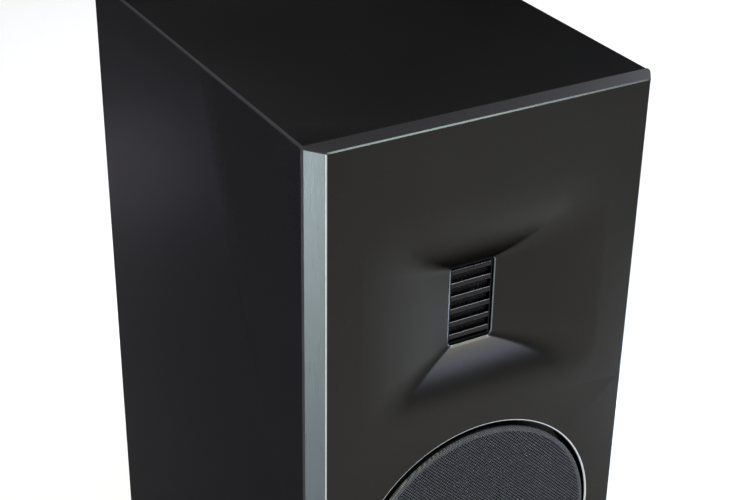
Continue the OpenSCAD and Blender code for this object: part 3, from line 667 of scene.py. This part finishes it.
# ---- Grille ----

CLOTH_R = CLOTH_HIGH.x
CLOTH_FRONT = CLOTH_LOW.y - FACE_Y
CLOTH_BACK = CLOTH_HIGH.y - FACE_Y
RIM_W, RIM_ROUND, TURN_IN, TURN_ROUND = 2.6, 1.7, 0.7, 0.25
THREAD_WANDER = 2.4


def cloth_finish(name, pitch, thread, gap, relief):
    """Plain weave: crossing rows of rounded threads, wandering a little, with stray fibres."""
    f = Finish(name, Specular_IOR_Level=0.12)
    parts = f.add("ShaderNodeSeparateXYZ", Vector=f.places())
    wander = f.calc("MULTIPLY", f.calc("SUBTRACT", f.noise(10, detail=2.0), 0.5), THREAD_WANDER)
    waves = []
    for axis in ("X", "Z"):
        turns = f.calc("MULTIPLY", parts.outputs[axis], 2 * pi / (pitch * MM))
        waves.append(f.calc("SINE", f.calc("ADD", turns, wander)))
    crown = f.fit(f.calc("MULTIPLY", *waves), 0, 1, -1, 1)
    fuzz = f.noise(0.1, detail=3.0)
    lit = f.calc("ADD", f.calc("MULTIPLY", crown, 0.7), f.calc("MULTIPLY", fuzz, 0.3))
    uneven = f.fit(f.noise(0.9, detail=2.0), 0, 1)
    strands = f.mix(uneven, shade(thread, 0.75), shade(thread, 1.35))
    colour = f.mix(f.fit(lit, 0, 1, 0.4, 0.66), gap, strands)
    return f.paint(colour, f.fit(fuzz, 0.8, 0.95), lit, relief)


cloth = cloth_finish("cloth", 2.2, (0.057, 0.0592, 0.068), (0.0005, 0.0005, 0.0008), 0.3)
# The cloth round the grille's rim: a lighter copy of the cloth, a painted highlight.
rim_cloth_highlight = cloth_finish("rim_cloth_highlight", 1.5, (0.098, 0.103, 0.112), (0.024, 0.025, 0.029), 0.1)
# Black plastic, its colour pushed near to black so the frame's flank in the gap behind the cloth shows as
# dark as shade: its own colour and painted shade.
grille_plastic = plain(
    "grille_plastic", (0.006, 0.006, 0.0065), 0.45, grain=0.6, relief=0.01, Specular_IOR_Level=0.2
)
nickel = bare_metal("nickel", (0.62, 0.6, 0.56), 0.2, lines="x")


def make_cloth():
    """The cloth lies over the frame's front and round its rim, where its edge turns in; round the rim it
    is painted lighter, a painted highlight.
    """
    wrap = CLOTH_BACK - CLOTH_FRONT
    flat = [(AXIS, 0)] + [(r, 0) for r in np.linspace(2, CLOTH_R - RIM_W, 32)]
    corners = [(CLOTH_R - RIM_W, 0), (CLOTH_R, 0), (CLOTH_R, wrap), (CLOTH_R - TURN_IN, wrap)]
    bend = fillet(corners, [0, RIM_ROUND, TURN_ROUND, 0], 8, closed=False)
    shell = Shell()
    for rows, finish in ((flat, 0), (bend, 1)):
        shell.turn([(r, CLOTH_FRONT + d) for r, d in rows], 0, WOOFER_Z, finish, 192, closed=False)
    piece = shell.build("grille_fabric", [cloth, rim_cloth_highlight], "grille", ["grille_cloth"])


make_cloth()


# ---- Screws ----

dark_screw = bare_metal("dark_screw", (0.11, 0.11, 0.12), 0.32, lines="y")
SOCKET_FLATS, SOCKET_MOUTH, HEAD_SOCKET_D = 1.3, 1.45, 1.0


def hexagon(angle, radius, depth):
    """A screw socket's flats: the points of its wall and mouth lie on a hexagon."""
    if radius > SOCKET_MOUTH + 0.05 or radius < 0.2:
        return radius
    off = (angle + pi / 6) % (pi / 3) - pi / 6
    return radius * cos(pi / 6) / cos(off)


def add_screw(shell, x, z, seat, out, radius, height):
    """A domed cap head with a hexagonal socket; out is 1 if it faces back and -1 if forwards."""
    top = seat + out * height
    floor = top - out * HEAD_SOCKET_D
    rim = [radians(a) for a in (90, 65, 40, 15)]
    soft = 0.55 * height
    dome = [(radius - soft + soft * cos(a), top - out * soft * (1 - sin(a))) for a in rim]
    socket = [(AXIS, floor), (SOCKET_FLATS, floor), (SOCKET_FLATS, top - out * 0.12), (SOCKET_MOUTH, top)]
    profile = socket + dome + [(radius, seat), (AXIS, seat)]
    shell.turn(profile, x, z, segments=36, closed=False, shape=hexagon)


def make_screws(name, node, places, seat, out, radius, height):
    shell = Shell()
    for x, z in places:
        add_screw(shell, x, z, seat, out, radius, height)
    shell.build(name, [dark_screw], "cabinet", [node])


def ring_places(count, radius, phase, z):
    angles = [radians(phase + i * 360 / count) for i in range(count)]
    return [(radius * cos(a), z + radius * sin(a)) for a in angles]


def corner_places(x, z, middle):
    return [(i * x, middle + k * z) for i in (-1, 1) for k in (-1, 1)]


make_screws(
    "woofer_cap_screws", "woofer_screws", ring_places(6, 76.8, 0, WOOFER_Z),
    seat=FLANGE_D, out=-1, radius=3, height=2,
)
make_screws(
    "port_cap_screws", "port_screws", ring_places(4, 39.5, 45, PORT_Z),
    seat=BACK - 0.1, out=1, radius=2.9, height=0.9,
)


# ---- Woofer ----

cone_pulp = plain("cone_pulp", (0.05, 0.05, 0.056), 0.5, grain=0.7, spread=0.3, relief=0.05, patch=12)
cap_pulp = plain("cap_pulp", (0.035, 0.035, 0.04), 0.42, grain=0.7, spread=0.3, relief=0.03, patch=8)
butyl = plain("butyl", (0.013, 0.013, 0.014), 0.42, grain=0.9, spread=0.2, relief=0.008)
spider_cloth = plain("spider_cloth", (0.45, 0.3, 0.08), 0.8, grain=0.35, spread=0.3, relief=0.08)

CONE_R, CONE_D, CONE_T = 58.0, 20, 1.2
ROLL_OUT, LIP_OUT, ROLL_RISE, SKIN_T = 69.0, 71.3, 5.0, 0.8
COIL_R = 18.6
CAP_R, CAP_RISE, CAP_SEAT = 24.0, 7.0, FLANGE_D + 16.9
SPIDER_D, SPIDER_R, SPIDER_WAVE, SPIDER_FOLDS = 45 - SKIN_T, 42.5, 1.2, 5


def sheet_profile(line, thick):
    """A closed profile for a skin of even thickness behind a line of (radius, depth)."""
    return list(line) + [(r, d + thick) for r, d in reversed(line)]


def make_cone():
    edge = CONE_R - 0.2
    shares = [i / 40 for i in range(41)]
    line = [(edge - (edge - COIL_R) * t, FLANGE_D + CONE_D * (1.25 * t - 0.25 * t * t)) for t in shares]
    shell = Shell()
    shell.turn(sheet_profile(line, CONE_T), 0, WOOFER_Z, segments=160)
    shell.build("cone", [cone_pulp], "cone", ["woofer_cone"])


def make_dust_cap():
    sphere = (CAP_R ** 2 + CAP_RISE ** 2) / (2 * CAP_RISE)
    limit = asin(CAP_R / sphere)
    line = [(CAP_R, CAP_SEAT + 0.8), (CAP_R + 0.15, CAP_SEAT + 0.4)]
    for a in (limit * (24 - i) / 24 for i in range(25)):
        depth = CAP_SEAT + sphere * (cos(limit) - cos(a))
        line.append((max(sphere * sin(a), AXIS), depth))
    shell = Shell()
    shell.turn(line, 0, WOOFER_Z, segments=128, closed=False)
    shell.build("cap", [cap_pulp], "cone", ["dust_cap"])


def make_sector(name, line, index, count, finish, node, thick):
    """A slice of a skin turned round the woofer's axis, bending from the cabinet to the cone."""
    turns = np.linspace(0, 2 * pi / count, 9) + 2 * pi * index / count
    profile = sheet_profile(line, thick)
    rows = [[(r * cos(a), d, WOOFER_Z + r * sin(a)) for r, d in profile] for a in turns]
    shell = Shell()
    shell.grid(rows, closed=True)
    piece = shell.build(name, [finish], None, [node])
    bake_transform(piece)


def make_surround():
    """The half roll between the cone and the basket, as sectors."""
    mid, half, depth = (CONE_R + ROLL_OUT) / 2, (ROLL_OUT - CONE_R) / 2, FLANGE_D - SKIN_T
    roll = [pi * i / 24 for i in range(25)]
    line = [(mid - half * cos(a), depth - ROLL_RISE * sin(a)) for a in roll]
    line = [(CONE_R - 3, depth), *line, (LIP_OUT, depth)]
    for i in range(24):
        name = f"surround_{i + 1:02d}"
        make_sector(name, line, i, 24, butyl, "woofer_surround", SKIN_T)


def make_spider():
    """The rippled disc between the coil and the basket, as sectors."""
    inner, middle = COIL_R + 0.1, SPIDER_D - SPIDER_WAVE
    line = [(inner - 0.05, middle)]
    for t in (i / 60 for i in range(61)):
        ripple = SPIDER_WAVE * sin(2 * SPIDER_FOLDS * pi * t)
        line.append((inner + (SPIDER_R - inner) * t, middle - ripple))
    line += [(SPIDER_R + 0.5, SPIDER_D), (SPIDER_R + 4, SPIDER_D)]
    for i in range(12):
        name = f"spider_{i + 1:02d}"
        make_sector(name, line, i, 12, spider_cloth, "woofer_spider", SKIN_T)


make_cone()
make_dust_cap()
make_surround()
make_spider()


# ---- Port and terminals ----

port_plastic = plain("port_plastic", (0.02, 0.02, 0.021), 0.45, grain=0.5, spread=0.2, relief=0.02)
plate_plastic = plain("plate_plastic", (0.018, 0.018, 0.019), 0.4, grain=0.5, spread=0.2, relief=0.02)
brass = bare_metal("brass", (0.78, 0.55, 0.24), 0.2, lines="y")
red_collar = plain("red_collar", (0.42, 0.012, 0.012), 0.3, grain=0.6, spread=0.1, relief=0.005)
black_collar = plain("black_collar", (0.012, 0.012, 0.012), 0.3, grain=0.6, spread=0.1, relief=0.005)
mark_paint = plain("mark_paint", (0.6, 0.6, 0.58), 0.5, grain=0.4, spread=0.08)

PORT_R, PORT_FRONT, PORT_WALL = 25.0, PORT_LOW.y - FACE_Y, 2.5
OUTER_FLARE, INNER_FLARE = 11, 5
PORT_FLANGE_T, PORT_RIM_ROUND = 3, 1.2


def make_port():
    """The port's flared bore, its flange on the back panel and its tube's outside."""
    turns = [radians(a) for a in np.linspace(0, 90, 25)]
    out, deep = OUTER_FLARE, INNER_FLARE
    flare = [(PORT_R + out * (1 - cos(a)), BACK - out + out * sin(a)) for a in turns]
    inner = [
        (PORT_R + deep * (1 - cos(a)), PORT_FRONT + deep - deep * sin(a)) for a in turns[::-1]
    ]
    flange = BACK - PORT_FLANGE_T
    corners = [(38, BACK), (PORT_HIGH.x, BACK), (PORT_HIGH.x, flange)]
    rim = fillet(corners, PORT_RIM_ROUND, 6, closed=False)
    tube = PORT_R + PORT_WALL
    back = [(tube, flange), (tube, PORT_FRONT + 6), (PORT_R + 7, PORT_FRONT + 1.5)]
    shell = Shell()
    shell.turn(inner + flare + rim + back, 0, PORT_Z, segments=128)
    shell.build("port_flare", [port_plastic], "cabinet", ["port_tube"])


PLATE_FRONT, PLATE_BACK = PLATE_LOW.y - FACE_Y, PLATE_HIGH.y - FACE_Y
PLATE_HALF_H = (PLATE_HIGH.z - PLATE_LOW.z) / 2
POST_END = NUT_HIGH.y - FACE_Y
NUT_START = NUT_LOW.y - FACE_Y
NUT_R = (NUT_HIGH.x - NUT_LOW.x) / 2
POST_R, SOCKET_R, SOCKET_DEPTH = 4.0, 2.05, 16.0
COLLAR_R, COLLAR_OUT, PLATE_ROUND, PLATE_SCREW_IN = 7, 3, 6, 6.7
PLATE_SINK, MARK_SINK = 0.7, 0.4
SIGN_LIFT, SIGN_ARM, SIGN_HALF_W = 16, 3, 0.6
THREAD_PITCH, THREAD_D, POST_PLAY = 1.25, 0.45, 0.05
WASHER_R, WASHER_T = 5.6, 1
FLUTES, FLUTE_R, FLUTE_OUT = 12, 1.3, 8.1
PLATE, MARK = range(2)


def sign_outline(x, arms):
    """A plus or minus sign above the post at x; arms gives each arm's quarter turns."""
    w = SIGN_HALF_W
    middle = Vector((x, POSTS_Z + SIGN_LIFT))
    out = []
    for turns in arms:
        turn = Matrix.Rotation(turns * pi / 2, 2)
        out += [turn @ Vector(p) + middle for p in ((SIGN_ARM, -w), (SIGN_ARM, w), (w, w))]
    return out


def make_plate():
    """The terminal plate with its two signs; each step is how far in and how deep a ring is."""
    steps = [
        (0, PLATE_FRONT), (0, PLATE_BACK - 0.7), (0.2, PLATE_BACK - 0.2), (0.7, PLATE_BACK),
        (2.4, PLATE_BACK), (2.7, PLATE_BACK - 0.15), (3.0, PLATE_BACK - 0.6),
    ]
    rows = []
    for i, depth in steps:
        x, z = PLATE_HIGH.x - i, PLATE_HALF_H - i
        rows.append(rounded_rect(x, -z, z, PLATE_ROUND - i, depth, 16, 8, POSTS_Z))
    ends = [[(0, row[0][1], POSTS_Z)] * len(row) for row in (rows[0], rows[-1])]
    shell = Shell()
    shell.grid([ends[0], *rows, ends[1]], PLATE, closed=True)
    start, end = PLATE_BACK - PLATE_SINK, PLATE_BACK - MARK_SINK
    for outline in (sign_outline(-POST_X, range(4)), sign_outline(POST_X, (0, 2))):
        add_bar(shell, outline, start, end, lambda a, b, d: (a, d, b), MARK)
    finishes = [plate_plastic, mark_paint]
    shell.build("terminal_panel", finishes, "cabinet", ["terminal_plate"])


def make_collar(name, x, finish, node):
    low, high = PLATE_BACK - PLATE_SINK, PLATE_BACK + COLLAR_OUT
    corners = [(POST_R, low), (COLLAR_R, low), (COLLAR_R, high), (POST_R, high)]
    shell = Shell()
    shell.turn(fillet(corners, [0, 0, 0.6, 0.2]), x, POSTS_Z, segments=64)
    shell.build(name, [finish], "cabinet", [node])


def make_posts():
    """The shafts: a screw thread outside and a socket in the end."""
    floor = POST_END - SOCKET_DEPTH
    profile = [(AXIS, floor), (SOCKET_R, floor), (SOCKET_R, POST_END - 0.5)]
    profile += [(SOCKET_R + 0.5, POST_END), (POST_R - 0.4, POST_END)]
    root = POST_R - THREAD_D
    for i in range(int((POST_END - PLATE_BACK - 4) / THREAD_PITCH)):
        d = POST_END - 0.4 - THREAD_PITCH * i
        profile += [(POST_R, d), (POST_R, d - 0.25), (root, d - 0.65), (root, d - 0.8)]
    profile += [(POST_R, PLATE_BACK + 2.5), (POST_R, PLATE_FRONT - 12), (AXIS, PLATE_FRONT - 12)]
    shell = Shell()
    for x in (-POST_X, POST_X):
        shell.turn(profile, x, POSTS_Z, segments=64, closed=False)
    shell.build("threaded_posts", [brass], "cabinet", ["post_shafts"])


def flute(angle, radius, depth):
    """Grooves round the thumb nut, fading out towards its ends."""
    if radius < NUT_R - 0.2:
        return radius
    half = pi / FLUTES
    off = (angle + half) % (2 * half) - half
    across = FLUTE_OUT * sin(off)
    if abs(across) >= FLUTE_R:
        return radius
    groove = FLUTE_OUT * cos(off) - sqrt(FLUTE_R ** 2 - across ** 2)
    fade = min(1, max(0, (depth - NUT_START - 2.5) / 1.2), max(0, (POST_END - 1.6 - depth) / 1.2))
    return radius - max(0.0, radius - groove) * fade


def make_nut(side, x):
    """The thumb nut: a chamfered hole for its post and grooves round its outside."""
    inner = POST_R + POST_PLAY
    lengths = list(np.linspace(NUT_START + 2, POST_END - 1.2, 24))
    profile = [(inner, NUT_START + 0.3), (inner + 0.3, NUT_START), (NUT_R - 0.6, NUT_START)]
    profile += [(NUT_R - 0.15, NUT_START + 0.2), (NUT_R, NUT_START + 0.6)] + [(NUT_R, d) for d in lengths]
    profile += [(NUT_R, POST_END - 0.8), (NUT_R - 0.3, POST_END - 0.25), (NUT_R - 0.9, POST_END)]
    profile += [(inner + 0.5, POST_END), (inner, POST_END - 0.5)]
    shell = Shell()
    shell.turn(profile, x, POSTS_Z, segments=192, shape=flute)
    shell.build(f"{side}_knob", [brass], f"{side}_nut", [f"{side}_thumb_nut"])


def make_washer(side, x):
    inner, start, end = POST_R + POST_PLAY, NUT_START - WASHER_T, NUT_START
    shell = Shell()
    corners = [(inner, start), (WASHER_R, start), (WASHER_R, end), (inner, end)]
    shell.turn(fillet(corners, 0.15, 3), x, POSTS_Z, segments=64)
    shell.build(f"{side}_clamp_ring", [brass], f"{side}_clamp", [f"{side}_washer"])


make_port()
make_plate()
make_collar("red_base", -POST_X, red_collar, "post_collar_left")
make_collar("black_base", POST_X, black_collar, "post_collar_right")
make_posts()
for side, x in (("left", -POST_X), ("right", POST_X)):
    make_nut(side, x)
    make_washer(side, x)
make_screws(
    "plate_cap_screws", "terminal_screws",
    corner_places(PLATE_HIGH.x - PLATE_SCREW_IN, PLATE_HALF_H - PLATE_SCREW_IN, POSTS_Z),
    seat=PLATE_BACK - 0.6, out=1, radius=3, height=2.2,
)


# ---- Feet ----

foot_rubber = plain("foot_rubber", (0.016, 0.016, 0.016), 0.7, grain=0.7, spread=0.25, relief=0.03)
FEET_LOW, FEET_HIGH = cad_box("rubber_feet")


def make_feet():
    """Four feet, turned about upright axes, each with a dimple for its screw underneath."""
    top_r = 9.0
    x = FEET_HIGH.x - top_r
    depths = (FEET_LOW.y - FACE_Y + top_r, FEET_HIGH.y - FACE_Y - top_r)
    height = FEET_HIGH.z
    corners = [(4, 0), (8.2, 0), (top_r, height - 0.2), (AXIS, height)]
    side = fillet(corners, [0, 1, 0.4, 0], 5, closed=False)
    profile = [(AXIS, 1.6), (2.8, 1.6), (3.1, 0.3), (3.5, 0.0)] + side
    shell = Shell()
    for foot_x in (-x, x):
        for depth in depths:
            shell.turn(profile, foot_x, depth, segments=64, closed=False)
    shell.build(
        "feet", [foot_rubber], "cabinet", ["rubber_feet"],
        stand=lambda u, h, d: (u, FACE_Y + d, h),
    )


make_feet()


# ---- Inside the cabinet ----

fleece = plain("fleece", (0.55, 0.54, 0.5), 0.95, grain=0.9, spread=0.25, relief=0.6, patch=14)
LINING_LOW, LINING_HIGH = cad_box("damping_lining")
BRACE_LOW, BRACE_HIGH = cad_box("window_brace")
LINING_T, PAD_ROUND, PAD_EDGE = 18.0, 8, 2.5
LUMP_H, LUMP_SIZE = 2.2, 14


def add_pad(shell, side, start, end):
    """A soft sheet against one side wall, thinner at its edges, with a lumpy face."""
    half_h = (LINING_HIGH.z - LINING_LOW.z) / 2
    half_d, mid_d = (end - start) / 2, (start + end) / 2
    mid_z = (LINING_HIGH.z + LINING_LOW.z) / 2
    turns = [radians(a) for a in (0, 20, 40, 60, 80)]
    r = PAD_ROUND
    levels = [(0, 0.0)] + [(r * (1 - cos(a)), LINING_T - r + r * sin(a)) for a in turns]
    levels += [(inset, LINING_T) for inset in np.linspace(10, half_d - 2, 14)]
    rows = []
    for inset, high in levels:
        ring = rounded_rect(half_d - inset, -half_h + inset, half_h - inset, 1, 0, 30, 4)
        row = []
        for p in ring:
            spot = Vector((p.x, p.z, 50 * side + start)) / LUMP_SIZE
            lump = LUMP_H * noise.noise(spot) if high > 6 else 0
            out = LINING_HIGH.x - high + min(PAD_EDGE, max(0, lump + 1))
            row.append((side * out, mid_d + p.x, mid_z + p.z))
        rows.append(row)
    ends = [[tuple(np.mean(rows[i], axis=0))] * len(rows[i]) for i in (0, -1)]
    shell.grid([ends[0], *rows, ends[1]], closed=True)


def make_lining():
    """Two pads on each side wall, before and behind the brace."""
    shell = Shell()
    brace = BRACE_LOW.y - FACE_Y, BRACE_HIGH.y - FACE_Y
    for side in (-1, 1):
        add_pad(shell, side, LINING_LOW.y - FACE_Y, brace[0] - 1)
        add_pad(shell, side, brace[1] + 1, LINING_HIGH.y - FACE_Y)
    piece = shell.build("lining_pads", [fleece], "cabinet", ["damping_lining"], sharp=60)


make_lining()


def board_finish():
    """Green lacquer over copper tracks: the tracks stand a little proud."""
    f = Finish("board_green", Coat_Weight=0.4)
    bricks = f.add("ShaderNodeTexBrick", Vector=f.places(), Scale=90.0, Mortar_Size=0.05)
    tracks = bricks.outputs["Fac"]
    grain = f.noise(0.6)
    colour = f.mix(tracks, (0.02, 0.12, 0.05), (0.05, 0.22, 0.09))
    return f.paint(colour, f.fit(grain, 0.3, 0.45), tracks, 0.03)


def winding_finish(name, pitch, colour):
    """Enamelled wire laid side by side round a coil."""
    f = Finish(name, Metallic=1.0)
    parts = f.add("ShaderNodeSeparateXYZ", Vector=f.places())
    wave = f.calc("SINE", f.calc("MULTIPLY", parts.outputs["Z"], 2 * pi / (pitch * MM)))
    lift = f.fit(wave, 0, 1, -1, 1)
    colour = f.mix(f.fit(f.noise(1.5), 0, 1), shade(colour, 0.8), shade(colour, 1.1))
    return f.paint(colour, f.fit(f.noise(0.5), 0.25, 0.4), lift, 0.3)


def pleated_foil():
    """Film with fine conductor tracks along its folds."""
    f = Finish("pleated_foil", Metallic=0.6)
    parts = f.add("ShaderNodeSeparateXYZ", Vector=f.places())
    wave = f.calc("SINE", f.calc("MULTIPLY", parts.outputs["X"], 2 * pi / (0.8 * MM)))
    tracks = f.fit(wave, 0, 1, -0.2, 0.2)
    colour = f.mix(tracks, (0.45, 0.25, 0.06), (0.75, 0.74, 0.7))
    return f.paint(colour, f.fit(f.noise(0.4), 0.25, 0.4), tracks, 0.02)


powder_coat = plain("powder_coat", (0.02, 0.02, 0.021), 0.5, grain=0.4, spread=0.2, relief=0.04)
WOOD = {"grain": 0.5, "spread": 0.3, "relief": 0.05, "patch": 8}
WIRE = {"grain": 0.5, "relief": 0.01}

NODE_FINISHES = {
    "cabinet_paint": satin_paint("back_paint", (0.0125, 0.0122, 0.0148), 0.46, 0.1, 0.01, **SIDE),
    "top_paint": lid_paint, "baffle_metal": face_paint, "dark_screws": dark_screw,
    "bare_board": plain("fibreboard", (0.36, 0.24, 0.13), 0.8, **WOOD),
    "foot_rubber": foot_rubber, "wadding": fleece, "port_plastic": port_plastic,
    "terminal_plastic": plate_plastic, "post_brass": brass,
    "collar_red": red_collar, "collar_black": black_collar, "board_green": board_finish(),
    "standoff_nylon": plain("nylon", (0.72, 0.71, 0.66), 0.45, grain=0.6, spread=0.06, relief=0.005),
    "copper_wire": winding_finish("copper_wire", 0.9, (0.72, 0.3, 0.13)),
    "capacitor_film": plain("capacitor_film", (0.02, 0.05, 0.22), 0.3, relief=0.01),
    "resistor_cement": plain("cement", (0.62, 0.61, 0.57), 0.85, grain=0.25, spread=0.15, relief=0.06),
    "lead_red": plain("red_lead", (0.45, 0.02, 0.02), 0.4, spread=0.1, **WIRE),
    "lead_black": plain("black_lead", (0.014, 0.014, 0.015), 0.4, spread=0.2, **WIRE),
    "basket_metal": powder_coat,
    "terminal_strip": plain("laminate", (0.4, 0.26, 0.11), 0.5, grain=0.3, spread=0.25, relief=0.02),
    "motor_steel": bare_metal("zinc", (0.55, 0.56, 0.58), 0.3, lines="x"),
    "magnet_ferrite": plain(
        "ferrite", (0.05, 0.05, 0.055), 0.6, grain=0.3, spread=0.25, relief=0.02, Metallic=0.3
    ),
    "spider_cloth": spider_cloth, "surround_rubber": butyl, "cone_pulp": cone_pulp, "cap_pulp": cap_pulp,
    "former_film": plain("former_film", (0.6, 0.33, 0.07), 0.25, grain=0.5, spread=0.1, relief=0.003),
    "insert_plastic": slat_plastic, "mesh_wire": mesh_wire, "foil": pleated_foil(),
    "chamber_plastic": plain("moulding", (0.018, 0.018, 0.019), 0.5, grain=0.5, spread=0.2, relief=0.02),
    "grille_plastic": grille_plastic, "magnet_nickel": nickel, "grille_fabric": cloth,
}
OWN_FINISHES = {
    # The tweeter's poles take black powder coat so that behind the mesh they show dark: a black coating
    # and painted shade.
    "tweeter_front_pole": powder_coat, "tweeter_rear_pole": powder_coat,
    # The inner board is near black so the gap round the woofer shows dark: black paint on the board and
    # painted shade.
    "inner_baffle": plain("dark_board_and_shade", (0.012, 0.0115, 0.011), 0.8, **WOOD),
}
SOFT_EDGE = 0.2


def finish_nodes():
    """Every CAD node takes its own or its slot's finish, and those that show get softened edges."""
    for part in frame["record"]["subparts"]:
        node = frame["nodes"][part["node"]]
        node.data.materials.clear()
        node.data.materials.append(OWN_FINISHES.get(part["node"], NODE_FINISHES[part["material_slot"]]))
        if not node.hide_render:
            bevel = node.modifiers.new("soft_edges", "BEVEL")
            bevel.width, bevel.segments = SOFT_EDGE * MM, 2
            bevel.limit_method, bevel.angle_limit = "ANGLE", radians(50)


finish_nodes()


# ---- Floor, light and camera ----


def make_floor():
    """A pale paper floor, with its size in metres."""
    size = 4.0
    mesh = bpy.data.meshes.new("floor")
    corners = [(-size, -size, 0), (size, -size, 0), (size, size, 0), (-size, size, 0)]
    mesh.from_pydata(corners, [], [(0, 1, 2, 3)])
    mesh.materials.append(plain("floor_paper", (0.62, 0.62, 0.62), 0.9, grain=3, spread=0.01))
    floor = bpy.data.objects.new("floor", mesh)
    bpy.context.scene.collection.objects.link(floor)


def make_light(name, spot, aim, size, power, colour=(1, 1, 1), spread=180):
    """A softbox at spot, facing aim, both in metres; a small spread in degrees makes it a beam."""
    data = bpy.data.lights.new(name, "AREA")
    data.shape = "RECTANGLE"
    data.size, data.size_y = size
    data.energy, data.color = power, colour
    data.spread = radians(spread)
    light = bpy.data.objects.new(name, data)
    light.location = spot
    light.rotation_euler = (Vector(aim) - Vector(spot)).to_track_quat("-Z", "Y").to_euler()
    bpy.context.scene.collection.objects.link(light)


def make_camera():
    """Looks down at the left front corner; offset is from the middle of the face's top edge."""
    offset = Vector((-0.4401, -0.6302, 0.3437))
    yaw, pitch, roll = (radians(a) for a in (-30.319, 29.015, -1.018))
    out = Vector((-sin(yaw) * cos(pitch), cos(yaw) * cos(pitch), -sin(pitch)))
    right = Vector((cos(yaw), sin(yaw), 0))
    down = out.cross(right)
    across = cos(roll) * right + sin(roll) * down
    below = -sin(roll) * right + cos(roll) * down
    data = bpy.data.cameras.new("camera")
    data.sensor_width, data.lens = 36, 77.99
    camera = bpy.data.objects.new("camera", data)
    camera.matrix_world = Matrix((across, -below, -out)).transposed().to_4x4()
    camera.location = Vector((0, FACE_Y, TOP_Z)) * MM + offset
    bpy.context.scene.collection.objects.link(camera)
    bpy.context.scene.camera = camera


def make_lights():
    """A dim room, large softboxes, and small beams for the pools of light on floor and sides."""
    world = bpy.data.worlds.new("room")
    bpy.context.scene.world = world
    world.use_nodes = True
    sky = world.node_tree.nodes["Background"]
    sky.inputs["Color"].default_value = (0.95, 0.94, 0.98, 1)
    sky.inputs["Strength"].default_value = 0.37
    make_light("key", (1.0, -1.1, 2.03), (0, 0, 0.23), (0.5, 0.5), 29, (0.98, 1, 0.92))
    make_light("key_skirt", (0.8, -1.25, 0.98), (0, -0.15, 0.28), (0.8, 0.5), 6.5, (0.56, 0.68, 0.97))
    make_light("overhead", (0.4, 0.7, 2.43), (0.2, 0.5, 0), (1.6, 1.6), 12, (1, 0.98, 0.9))
    make_light("rear_fill", (0.0, 1.5, 1.33), (-0.05, 0.4, 0.03), (0.6, 0.6), 10)
    make_light("right_high", (1.2, 0.6, 1.03), (0.2, 0.0, 0.33), (0.6, 0.6), 18.6, (0.89, 0.9, 1))
    make_light("low_side", (0.53, -0.295, 0.22), (0.43, -0.285, 0), (0.13, 0.13), 1.35, (0.7, 0.84, 1))
    make_light("flank_low", (0.445, -0.29, 0.16), (0.39, -0.285, 0), (0.11, 0.11), 1, (0.75, 0.84, 1), 90)
    make_light("left_floor", (-1.12, -0.355, 0.5), (-0.87, -0.255, 0), (0.25, 0.25), 22.5, (1, 1, 0.83))
    make_light("left_pool", (-1.22, -0.505, 1.0), (-0.82, -0.245, 0), (0.12, 0.12), 0.5, spread=16)
    make_light("side_far", (-0.9, 1.0, 1.2), (-0.4, 0.57, 0), (0.12, 0.12), 2.5, (0.96, 0.93, 1), 16)
    make_light("side_rear", (-0.7, 1.2, 1.2), (-0.34, 0.75, 0), (0.12, 0.12), 7.2, (0.95, 0.91, 1), 14)
    make_light("sky_low", (0.95, -1.3, 1.28), (0, -0.15, 0.28), (0.4, 0.4), 0.073, spread=40)
    make_light("near_corner", (-0.3, 0.6, 1.6), (-0.12, 0.28, 0), (0.2, 0.2), 0.2, spread=30)


make_floor()
make_camera()
make_lights()
bpy.context.scene.view_settings.view_transform = "Standard"
